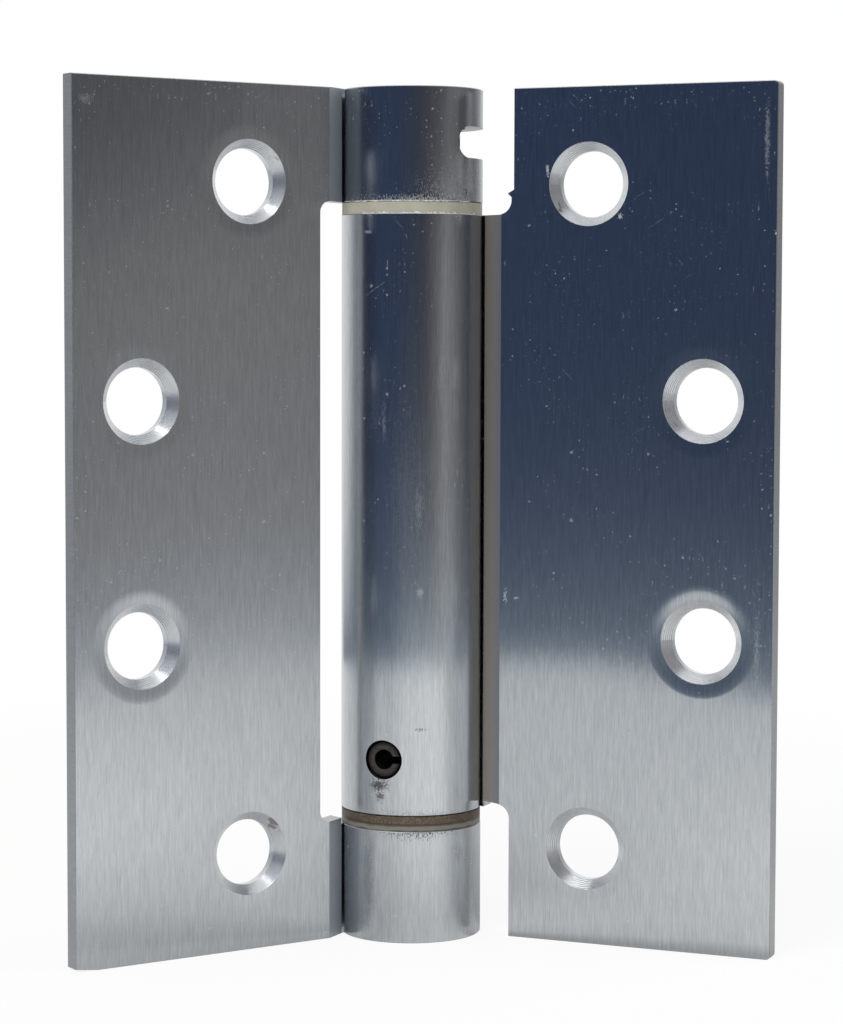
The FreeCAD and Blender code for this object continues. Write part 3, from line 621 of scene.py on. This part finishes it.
def press_marks(tree, along, on_front, hairlines):
    """The normal of a sheet with its grain, waves, twist, dishes and rolled ends, from heights in mm."""
    part = add(tree, "SeparateXYZ", {0: along}).outputs
    folded = folded_level(tree, along)
    offset = from_nearest_hole(tree, along, folded)
    from_axis = add(tree, "VectorMath", {0: offset}, operation="LENGTH").outputs["Value"]
    dish = add(tree, "MapRange", {"Value": from_axis},
               {"From Min": COUNTERSINK_RADIUS - DISH_INSIDE, "From Max": COUNTERSINK_RADIUS + DISH_WIDTH,
                "To Max": DISH_DEPTH}, interpolation_type="SMOOTHSTEP").outputs["Result"]
    beyond = add(tree, "Math", {0: part["X"]}, {1: TWIST_STARTS}, operation="SUBTRACT").outputs[0]
    outer = add(tree, "Math", {0: beyond}, {1: 0.0}, operation="MAXIMUM").outputs[0]
    rise = add(tree, "Math", {0: part["Z"]}, {1: -TWIST, 2: TWIST * HALF_HEIGHT},
               operation="MULTIPLY_ADD").outputs[0]
    waves = add(tree, "TexNoise", {"Vector": along},
                {"Scale": 1 / WAVE_LENGTH, "Detail": 1.0}).outputs["Fac"]
    heights = [
        add(tree, "Math", {0: dish, 1: on_front}, operation="MULTIPLY").outputs[0],
        add(tree, "Math", {0: outer, 1: rise}, operation="MULTIPLY").outputs[0],
        add(tree, "Math", {0: hairlines}, {1: GRAIN_DEPTH}, operation="MULTIPLY").outputs[0],
        add(tree, "Math", {0: waves}, {1: WAVE_DEPTH}, operation="MULTIPLY").outputs[0],
        add(tree, "MapRange", {"Value": folded},
            {"From Min": HALF_HEIGHT - ROLL_OVER, "From Max": HALF_HEIGHT + ROLL_OVER / 2,
             "To Max": -ROLL_OVER_DEPTH}, interpolation_type="SMOOTHSTEP").outputs["Result"],
    ]
    height = heights[0]
    for other in heights[1:]:
        height = add(tree, "Math", {0: height, 1: other}, operation="ADD").outputs[0]
    return add(tree, "Bump", {"Height": height}, {"Strength": 1.0, "Distance": MM}).outputs[0]


print("dish of", DISH_DEPTH, "mm round each countersink")

# %% [markdown]
# ## The bend beside the roll
# The belt doesn't reach into the narrow bend where the flat of a leaf turns into its roll. That strip keeps
# the dull look of the mill, on the front of the sheet only. Its tone across the strip is partly painted
# shade and reflection: bluish and darker by the roll on the frame leaf, and on the door leaf turning from
# brown by the roll to a blue grey that stands for the dark room mirrored in the curve.

# %% Unground bend
# Where the bend lies, and how far before the back face the front is taken to end, in millimetres.
BEND_STARTS, BEND_ENDS = 9.56, 12.6
BACK_MARGIN = 0.3
# Tones from the roll to the leaf, partly painted shade and reflection, and how metallic the strip still looks.
BENDS = {"frame_leaf": ("#A8B0B8", "#B8BEC4", 0.6), "door_leaf": ("#BDB3A5", "#8A8E97", 0.55)}


def unground_bend(tree, along, leaf):
    """Whether a place is on the sheet's front, whether it lies in the bend there, and the bend's partly painted
    tone.
    """
    part = add(tree, "SeparateXYZ", {0: along}).outputs
    on_front = add(tree, "Math", {0: part["Y"]}, {1: LEAF_BACK - BACK_MARGIN},
                   operation="LESS_THAN").outputs[0]
    strip = add(tree, "Math", {0: part["X"]},
                {1: (BEND_STARTS + BEND_ENDS) / 2, 2: (BEND_ENDS - BEND_STARTS) / 2},
                operation="COMPARE").outputs[0]
    in_bend = add(tree, "Math", {0: strip, 1: on_front}, operation="MULTIPLY").outputs[0]
    by_roll, by_leaf = BENDS[leaf][:2]
    across = add(tree, "MapRange", {"Value": part["X"]},
                 {"From Min": BEND_STARTS, "From Max": BEND_ENDS}).outputs["Result"]
    # The tone across the bend is partly painted shade and reflection of the curve.
    dull_and_painted_bend_tone = add(tree, "Mix", {0: across}, {COLOUR_A: linear(by_roll), COLOUR_B: linear(by_leaf)},
               data_type="RGBA").outputs[COLOUR_OUT]
    return on_front, in_bend, dull_and_painted_bend_tone


print("bend from", BEND_STARTS, "to", BEND_ENDS, "mm")

# %% [markdown]
# ## Plated steel, brushed lengthwise
# The ground lines spread a reflection sideways and leave it crisp up and down, which an anisotropic shader
# gives with its tangent set upright. Rubbed places scatter light like a fine powder, so they are made rougher
# and less metallic, and they show pale even where the metal mirrors the dark room.

# %% Brushed plated steel
RUBBED, GRIME = "#DADDDF", "#3E3B39"
RUB_METALLIC = 0.4
DULL_ROUGHNESS = 0.45
ACROSS_THE_GRAIN = 0.25
# The roughness of each leaf, and how much further it spreads light across the grain than along it.
BRUSHED = {"frame_leaf": (0.21, 0.9), "door_leaf": (0.14, 1.0)}


def brushed_steel(leaf):
    """Brushed plated steel for one leaf, with its press marks and its wear."""
    material, tree, output = new_material("brushed plated steel, " + leaf.replace("_", " "))
    roughness, anisotropy = BRUSHED[leaf]
    along = leaf_millimetres(tree, leaf)
    tint, hairlines = belt_grain(tree, along)
    rubbed, grimy = rubs_and_grime(tree, along, leaf)
    on_front, in_bend, dull_and_painted_bend_tone = unground_bend(tree, along, leaf)
    paled = add(tree, "Mix", {0: rubbed, COLOUR_A: tint}, {COLOUR_B: linear(RUBBED)},
                data_type="RGBA").outputs[COLOUR_OUT]
    smudged = add(tree, "Mix", {0: grimy, COLOUR_A: paled}, {COLOUR_B: linear(GRIME)},
                  data_type="RGBA").outputs[COLOUR_OUT]
    # In the bend, the partly painted tone takes the place of the ground tint.
    colour = add(tree, "Mix", {0: in_bend, COLOUR_A: smudged, COLOUR_B: dull_and_painted_bend_tone},
                 data_type="RGBA").outputs[COLOUR_OUT]
    unground = add(tree, "Math", {0: rubbed, 1: in_bend}, operation="MAXIMUM").outputs[0]
    rough = add(tree, "MapRange", {"Value": unground},
                {"To Min": roughness, "To Max": DULL_ROUGHNESS}).outputs["Result"]
    scraped = add(tree, "MapRange", {"Value": rubbed},
                  {"To Min": 1.0, "To Max": RUB_METALLIC}).outputs["Result"]
    bent = add(tree, "MapRange", {"Value": in_bend},
               {"To Min": 1.0, "To Max": BENDS[leaf][2]}).outputs["Result"]
    metal = add(tree, "Math", {0: scraped, 1: bent}, operation="MINIMUM").outputs[0]
    upright = add(tree, "CombineXYZ", values={"Z": 1.0}).outputs[0]
    shader = add(tree, "BsdfPrincipled",
                 {"Base Color": colour, "Roughness": rough, "Metallic": metal,
                  "Normal": press_marks(tree, along, on_front, hairlines), "Tangent": upright},
                 {"Anisotropic": anisotropy, "Anisotropic Rotation": ACROSS_THE_GRAIN})
    tree.links.new(shader.outputs[0], output.inputs["Surface"])
    return material


for leaf in LEAVES:
    dress(leaf, brushed_steel(leaf))

# %% [markdown]
# ## Countersinks
# The holes were countersunk after the sheet was ground, with a cutter that turned about each hole's axis.
# Its fine rings scatter light evenly round the cone, so these faces are a little duller than the brushed
# ones, and the rings are drawn by a wave texture about the nearest hole. Some cones hold a brown stain.

# %% Turned countersinks
TOOL_FEED = 0.2
TOOL_DEPTH = 0.009 * MM
WAVE_PERIOD = math.tau / 20
MOTTLE_PER_MM = 1.1
CUT_DARK, CUT_PALE = "#C2C6CA", "#E8EAEC"
STAIN = "#6A5542"
STAINS = {
    "frame_leaf": ((21.4, 16.4, 1.3, 1.3, 0.6), (21.3, 104.3, 1.0, 1.0, 0.3)),
    "door_leaf": ((21.0, 98.6, 1.1, 1.5, 0.6), (37.2, 70.2, 1.0, 1.2, 0.35)),
}


def countersunk_steel(leaf):
    """Bare turned steel in the screw holes of one leaf."""
    material, tree, output = new_material("turned countersinks, " + leaf.replace("_", " "))
    along = leaf_millimetres(tree, leaf)
    offset = from_nearest_hole(tree, along, folded_level(tree, along))
    rings = add(tree, "TexWave", {"Vector": offset},
                {"Scale": WAVE_PERIOD / TOOL_FEED, "Distortion": 1.2, "Detail": 2.0},
                wave_type="RINGS", rings_direction="Y").outputs["Fac"]
    mottle = add(tree, "TexNoise", {"Vector": along},
                 {"Scale": MOTTLE_PER_MM, "Detail": 5.0, "Roughness": 0.65}).outputs["Fac"]
    tint = add(tree, "Mix", {0: mottle}, {COLOUR_A: linear(CUT_DARK), COLOUR_B: linear(CUT_PALE)},
               data_type="RGBA").outputs[COLOUR_OUT]
    stained = strongest_mark(tree, along, mottle, SCUFF_RAGGED, STAINS[leaf])
    colour = add(tree, "Mix", {0: stained, COLOUR_A: tint}, {COLOUR_B: linear(STAIN)},
                 data_type="RGBA").outputs[COLOUR_OUT]
    height = add(tree, "Math", {0: rings, 1: mottle}, operation="ADD").outputs[0]
    bump = add(tree, "Bump", {"Height": height}, {"Strength": 1.0, "Distance": TOOL_DEPTH}).outputs[0]
    shader = add(tree, "BsdfPrincipled", {"Base Color": colour, "Normal": bump},
                 {"Metallic": 0.85, "Roughness": 0.27})
    tree.links.new(shader.outputs[0], output.inputs["Surface"])
    return material


print("stains:", {leaf: len(rows) for leaf, rows in STAINS.items()})

# %% Faces that line a screw hole
RIM_MARGIN = 0.03
ON_THE_FLAT = 0.99


def in_a_countersink(leaf):
    """A test for faces that line a screw hole."""
    def test(centre, normal):
        place = on_leaf(leaf, centre) / MM
        far = min(math.hypot(place.x - reach, place.z - level) for reach, level in HOLES)
        return far < COUNTERSINK_RADIUS + RIM_MARGIN and abs(on_leaf(leaf, normal).y) < ON_THE_FLAT
    return test


for leaf in LEAVES:
    dress_faces(leaf, countersunk_steel(leaf), in_a_countersink(leaf))

# %% [markdown]
# ## Sheared edges
# The blanks were sheared from sheet. A sheared edge has fine tears that run through the sheet's thickness,
# and the plating over them is duller than on the ground faces. Noise drawn out along the depth makes the
# tears.

# %% Sheared edges
TEARS = (0.14, 2.5, 0.14)
TEAR_DEPTH = 0.02 * MM
FLAT_STARTS = 13.4
ACROSS_THE_SHEET = 0.6


def sheared_steel(leaf):
    """Plated steel on the cut edges of one leaf."""
    material, tree, output = new_material("sheared plated steel, " + leaf.replace("_", " "))
    along = leaf_millimetres(tree, leaf)
    drawn = add(tree, "Mapping", {"Vector": along}, {"Scale": TEARS}, vector_type="TEXTURE").outputs[0]
    tears = add(tree, "TexNoise", {"Vector": drawn}, {"Scale": 1.0, "Detail": 3.0}).outputs["Fac"]
    tint = add(tree, "Mix", {0: tears}, {COLOUR_A: linear("#A2A5A7"), COLOUR_B: linear("#CDCFD0")},
               data_type="RGBA").outputs[COLOUR_OUT]
    bump = add(tree, "Bump", {"Height": tears}, {"Strength": 1.0, "Distance": TEAR_DEPTH}).outputs[0]
    shader = add(tree, "BsdfPrincipled", {"Base Color": tint, "Normal": bump},
                 {"Metallic": 1.0, "Roughness": 0.4})
    tree.links.new(shader.outputs[0], output.inputs["Surface"])
    return material


def on_a_cut_edge(leaf):
    """A test for faces across the sheet: its ends, its free edge and its notches."""
    lined = in_a_countersink(leaf)

    def test(centre, normal):
        across = on_leaf(leaf, normal)
        flat = on_leaf(leaf, centre).x / MM > FLAT_STARTS
        cut = abs(across.z) > ACROSS_THE_SHEET or flat and abs(across.x) > ACROSS_THE_SHEET
        return cut and not lined(centre, normal)
    return test


for leaf in LEAVES:
    dress_faces(leaf, sheared_steel(leaf), on_a_cut_edge(leaf))

# %% [markdown]
# ## Washers
# The two nylon washers are moulded, an even matte cream. The bearing washer between barrel and bottom
# knuckle is pressed from bronze powder and soaked in oil, so it is brown, dull and full of fine pores. Its
# oil has run onto the nylon washer below it and browned it. That washer's two rims are painted darker
# still, as painted shade where it meets the bronze washer above and the knuckle below.

# %% Moulded nylon
CLOUD = 1.5 * MM
GRIT = 0.15 * MM
GRIT_DEPTH = 0.01 * MM
NYLON_IOR = 1.53

# The fine grain of a mould, which gives the eye a soft sheen without a mirror image.
nylon, tree, output = new_material("moulded nylon")
spot = add(tree, "TexCoord").outputs["Object"]
clouds = add(tree, "TexNoise", {"Vector": spot}, {"Scale": 1 / CLOUD, "Detail": 4.0}).outputs["Fac"]
cream = add(tree, "Mix", {0: clouds}, {COLOUR_A: linear("#9A9888"), COLOUR_B: linear("#BAB7A8")},
            data_type="RGBA").outputs[COLOUR_OUT]
grit = add(tree, "TexNoise", {"Vector": spot}, {"Scale": 1 / GRIT, "Detail": 2.0}).outputs["Fac"]
bump = add(tree, "Bump", {"Height": grit}, {"Strength": 1.0, "Distance": GRIT_DEPTH}).outputs[0]
shader = add(tree, "BsdfPrincipled", {"Base Color": cream, "Normal": bump},
             {"Roughness": 0.55, "IOR": NYLON_IOR})
tree.links.new(shader.outputs[0], output.inputs["Surface"])
dress("top_washer", nylon)

# %% Oil stained nylon
# Tones by share of the washer's height, from its lower rim up, with painted shade at both rims, and how far they
# wander.
OIL_AND_RIM_SHADE_TONES = ((0.0, "#3C3D3C"), (0.22, "#7C7A72"), (0.55, "#7E796C"), (0.8, "#4C443A"), (1.0, "#332C25"))
TONE_BANDS_WANDER = 0.4

# Oil fills the grain of the mould, so this washer is darker and a little glossier; its rims are painted darker as
# shade.
stained_and_shaded_nylon, tree, output = new_material("oil stained nylon with painted rim shade")
spot = add(tree, "TexCoord").outputs["Object"]
level = add(tree, "SeparateXYZ", {0: spot}).outputs["Z"]
clouds = add(tree, "TexNoise", {"Vector": spot}, {"Scale": 1 / CLOUD, "Detail": 4.0}).outputs["Fac"]
washer_low, washer_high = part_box("lower_washer")
height = add(tree, "MapRange", {"Value": level},
             {"From Min": washer_low.z, "From Max": washer_high.z}).outputs["Result"]
band_shift = add(tree, "Math", {0: clouds}, {1: TONE_BANDS_WANDER, 2: -TONE_BANDS_WANDER / 2},
            operation="MULTIPLY_ADD").outputs[0]
ragged = add(tree, "Math", {0: height, 1: band_shift}, operation="ADD").outputs[0]
# The ramp paints shade along both rims, with the oil stain between them.
oiled = add(tree, "ValToRGB", {"Fac": ragged},
            stops=[(share, linear(tone)) for share, tone in OIL_AND_RIM_SHADE_TONES]).outputs["Color"]
shader = add(tree, "BsdfPrincipled", {"Base Color": oiled}, {"Roughness": 0.4, "IOR": NYLON_IOR})
tree.links.new(shader.outputs[0], output.inputs["Surface"])
dress("lower_washer", stained_and_shaded_nylon)

# %% Oiled sintered bronze
PORE = 0.25 * MM
PORE_DEPTH = 0.02 * MM

# Pressed powder with oil in its pores, which gives the eye a dull brown speckle.
bronze, tree, output = new_material("oiled sintered bronze")
spot = add(tree, "TexCoord").outputs["Object"]
pores = add(tree, "TexVoronoi", {"Vector": spot}, {"Scale": 1 / PORE}).outputs["Distance"]
brown = add(tree, "Mix", {0: pores}, {COLOUR_A: linear("#463C32"), COLOUR_B: linear("#857766")},
            data_type="RGBA").outputs[COLOUR_OUT]
bump = add(tree, "Bump", {"Height": pores}, {"Strength": 1.0, "Distance": PORE_DEPTH}).outputs[0]
shader = add(tree, "BsdfPrincipled", {"Base Color": brown, "Normal": bump},
             {"Metallic": 0.55, "Roughness": 0.5})
tree.links.new(shader.outputs[0], output.inputs["Surface"])
dress("thrust_washer", bronze)

# %% [markdown]
# ## Roll pin
# The pin low on the barrel is a strip of spring steel rolled to a tube and blackened. The punch that drove
# it in rubbed the inner part of its end bare, so that ring is dark grey metal, and it fades to black
# towards its rim.

# %% Blackened spring steel
BLOOM = 0.6 * MM

# An oxide grown in a hot bath, which gives the eye a satin black.
black_oxide, tree, output = new_material("black oxide spring steel")
spot = add(tree, "TexCoord").outputs["Object"]
bloom = add(tree, "TexNoise", {"Vector": spot}, {"Scale": 1 / BLOOM, "Detail": 4.0}).outputs["Fac"]
black = add(tree, "Mix", {0: bloom}, {COLOUR_A: linear("#0E0E10"), COLOUR_B: linear("#2C2B2B")},
            data_type="RGBA").outputs[COLOUR_OUT]
shader = add(tree, "BsdfPrincipled", {"Base Color": black}, {"Metallic": 0.6, "Roughness": 0.38})
tree.links.new(shader.outputs[0], output.inputs["Surface"])
dress("anchor_roll_pin", black_oxide)

# %% Rubbed end of the pin
PIN_LEVEL = sum(corner.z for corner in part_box("anchor_roll_pin")) / 2 / MM
RUBBED_RADIUS, BLACK_RADIUS = 1.75, 2.35
RIM_SHARE = 0.1
RUB_SIZE = 0.35
FACES_OUT = -0.2

# Oxide worn through by the punch, which gives the eye a patchy grey ring.
rubbed_steel, tree, output = new_material("rubbed spring steel")
along = leaf_millimetres(tree, "door_leaf")
rub = add(tree, "TexNoise", {"Vector": along}, {"Scale": 1 / RUB_SIZE, "Detail": 4.0}).outputs["Fac"]
from_pin = add(tree, "Mapping", {"Vector": along},
               {"Location": (0, 0, -PIN_LEVEL), "Scale": (1, 0, 1)}).outputs[0]
radius = add(tree, "VectorMath", {0: from_pin}, operation="LENGTH").outputs["Value"]
bright = add(tree, "MapRange", {"Value": radius},
             {"From Min": RUBBED_RADIUS, "From Max": BLACK_RADIUS,
              "To Min": 1.0, "To Max": RIM_SHARE}).outputs["Result"]
worn = add(tree, "Math", {0: rub, 1: bright}, operation="MULTIPLY").outputs[0]
grey = add(tree, "Mix", {0: worn}, {COLOUR_A: linear("#1C1918"), COLOUR_B: linear("#78726A")},
           data_type="RGBA").outputs[COLOUR_OUT]
shader = add(tree, "BsdfPrincipled", {"Base Color": grey}, {"Metallic": 1.0, "Roughness": 0.35})
tree.links.new(shader.outputs[0], output.inputs["Surface"])
dress_faces("anchor_roll_pin", rubbed_steel,
            lambda centre, normal: on_leaf("door_leaf", normal).y < FACES_OUT)

# %% [markdown]
# ## Turned pieces
# The adjuster, the rod, the anchor and the bottom plug are turned from bar, so a fine feed line winds round
# them: rings on their ends and bands on their sides. One wave texture draws the rings and one the bands,
# and their sum suits both.

# %% Turned steel
BAR_FEED = 0.25 * MM
FEED_DEPTH = 0.006 * MM
BAR_PATCH = 2.0 * MM

# Feed lines of the lathe, which give the eye a fan of light on the ends.
turned, tree, output = new_material("lathe turned steel")
spot = add(tree, "TexCoord").outputs["Object"]
feed = {"Scale": WAVE_PERIOD / BAR_FEED, "Distortion": 0.6, "Detail": 1.0}
rings = add(tree, "TexWave", {"Vector": spot}, feed, wave_type="RINGS", rings_direction="Z").outputs["Fac"]
bands = add(tree, "TexWave", {"Vector": spot}, feed, wave_type="BANDS", bands_direction="Z").outputs["Fac"]
lines = add(tree, "Math", {0: rings, 1: bands}, operation="ADD").outputs[0]
patches = add(tree, "TexNoise", {"Vector": spot}, {"Scale": 1 / BAR_PATCH, "Detail": 4.0}).outputs["Fac"]
steel = add(tree, "Mix", {0: patches}, {COLOUR_A: linear("#7E8285"), COLOUR_B: linear("#B4B8BB")},
            data_type="RGBA").outputs[COLOUR_OUT]
bump = add(tree, "Bump", {"Height": lines}, {"Strength": 1.0, "Distance": FEED_DEPTH}).outputs[0]
shader = add(tree, "BsdfPrincipled", {"Base Color": steel, "Normal": bump},
             {"Metallic": 1.0, "Roughness": 0.28})
tree.links.new(shader.outputs[0], output.inputs["Surface"])
for piece in ("tension_adjuster", "center_rod", "spring_anchor", "bottom_plug"):
    dress(piece, turned)

# %% [markdown]
# ## The spring
# When the adjuster is turned, it takes the spring's upper leg along while the anchor holds the lower one,
# so each coil turns a part of the way. A rigid mesh can't do that. A merged copy of the wire stands for the
# spring here, untwisted. The wire is oil tempered, dark and a little blue.

# %% Oil tempered spring wire
TEMPER = 3.0 * MM

# An oil film burnt on in tempering, which gives the eye a dark satin.
tempered, tree, output = new_material("oil tempered spring wire")
spot = add(tree, "TexCoord").outputs["Object"]
temper = add(tree, "TexNoise", {"Vector": spot}, {"Scale": 1 / TEMPER, "Detail": 4.0}).outputs["Fac"]
dark = add(tree, "Mix", {0: temper}, {COLOUR_A: linear("#2A2B31"), COLOUR_B: linear("#55545A")},
           data_type="RGBA").outputs[COLOUR_OUT]
shader = add(tree, "BsdfPrincipled", {"Base Color": dark}, {"Metallic": 0.9, "Roughness": 0.34})
tree.links.new(shader.outputs[0], output.inputs["Surface"])
dress("torsion_spring", tempered)

# %% A merged copy of the spring
# How close two of the copy's vertices must be to be merged into one.
MERGE = 0.001 * MM

spring_mesh = bpy.data.meshes.new("wound_spring")
bm = bmesh.new()
bm.from_mesh(nodes["torsion_spring"].data)
bmesh.ops.remove_doubles(bm, verts=bm.verts, dist=MERGE)
bmesh.ops.recalc_face_normals(bm, faces=bm.faces)
bm.to_mesh(spring_mesh)
bm.free()
spring_mesh.materials.append(tempered)
spring = bpy.data.objects.new("wound_spring", spring_mesh)
bpy.context.collection.objects.link(spring)
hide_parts("torsion_spring")
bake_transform(spring)

# %% [markdown]
# ## Burrs
# Where the barrel was cut to length its rim kept a thin torn fin of metal, and so did the foot of the top
# knuckle. Each fin starts as one upright edge that is spun along its arc. Its crest is then pulled down by
# a seeded draw, so it comes out ragged, and it gets the thickness of foil.

# %% Torn bare steel
TEAR_SIZE = 0.2 * MM

# A fresh break through the plating; its near white, mostly matte tone is partly a painted glint, for the light the
# fin catches from above.
torn_steel_with_glint, tree, output = new_material("torn bare steel with painted glint")
spot = add(tree, "TexCoord").outputs["Object"]
tear = add(tree, "TexNoise", {"Vector": spot}, {"Scale": 1 / TEAR_SIZE, "Detail": 3.0}).outputs["Fac"]
# Near white and mostly matte: bare torn steel, partly a painted glint.
bare = add(tree, "Mix", {0: tear}, {COLOUR_A: linear("#D2D4D4"), COLOUR_B: linear("#F2F3F2")},
           data_type="RGBA").outputs[COLOUR_OUT]
shader = add(tree, "BsdfPrincipled", {"Base Color": bare}, {"Metallic": 0.3, "Roughness": 0.5})
tree.links.new(shader.outputs[0], output.inputs["Surface"])
print(torn_steel_with_glint.name, "with", len(tree.nodes), "nodes")

# %% Torn fins along the rims
FIN_ROOT = 0.05 * MM
FIN_FOIL = 0.02 * MM
FIN_STEP = math.radians(1.3)
FIN_INSET = 0.01 * MM
FIN_RADIUS = BARREL_RADIUS - FIN_INSET
KNUCKLE_GAP = 1.65 * MM
BARREL_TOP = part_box("top_washer")[0].z
KNUCKLE_FOOT = BARREL_TOP + KNUCKLE_GAP
draw = random.Random(11)


def torn_fin(name, body, place, first, last, height, lean):
    """A ragged fin on an arc round its own Z axis, moved to its place."""
    mesh = bpy.data.meshes.new(name)
    bm = bmesh.new()
    root = bm.verts.new((FIN_RADIUS, 0, -FIN_ROOT))
    crest = bm.verts.new((FIN_RADIUS + lean, 0, height))
    edge = bm.edges.new((root, crest))
    bmesh.ops.rotate(bm, verts=bm.verts, cent=(0, 0, 0), matrix=Matrix.Rotation(math.radians(first), 3, "Z"))
    turn = math.radians(last - first)
    bmesh.ops.spin(bm, geom=[root, crest, edge], cent=(0, 0, 0), axis=(0, 0, 1), angle=turn,
                   steps=round(turn / FIN_STEP))
    for vert in bm.verts:
        if vert.co.z > 0:
            vert.co.z *= draw.random() ** 2
    bmesh.ops.solidify(bm, geom=bm.faces, thickness=FIN_FOIL)
    bmesh.ops.recalc_face_normals(bm, faces=bm.faces)
    bmesh.ops.transform(bm, matrix=place, verts=bm.verts)
    bm.to_mesh(mesh)
    bm.free()
    mesh.materials.append(torn_steel_with_glint)
    fin = bpy.data.objects.new(name, mesh)
    bpy.context.collection.objects.link(fin)
    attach(fin, body)
    print(name, "with", len(mesh.polygons), "faces")


on_barrel = Matrix.Translation((0, 0, BARREL_TOP))
under_knuckle = Matrix.Translation((0, 0, KNUCKLE_FOOT)) @ Matrix.Rotation(math.pi, 4, "X")
# Name, body, place, first and last bearing in degrees, and the crest's height and lean.
FINS = (
    ("barrel_rim_burr", "door_leaf", on_barrel, -168, -62, 0.28 * MM, 0.03 * MM),
    ("knuckle_rim_burr", "frame_leaf", under_knuckle, 70, 178, 0.14 * MM, 0.02 * MM),
)
for fin_row in FINS:
    torn_fin(*fin_row)
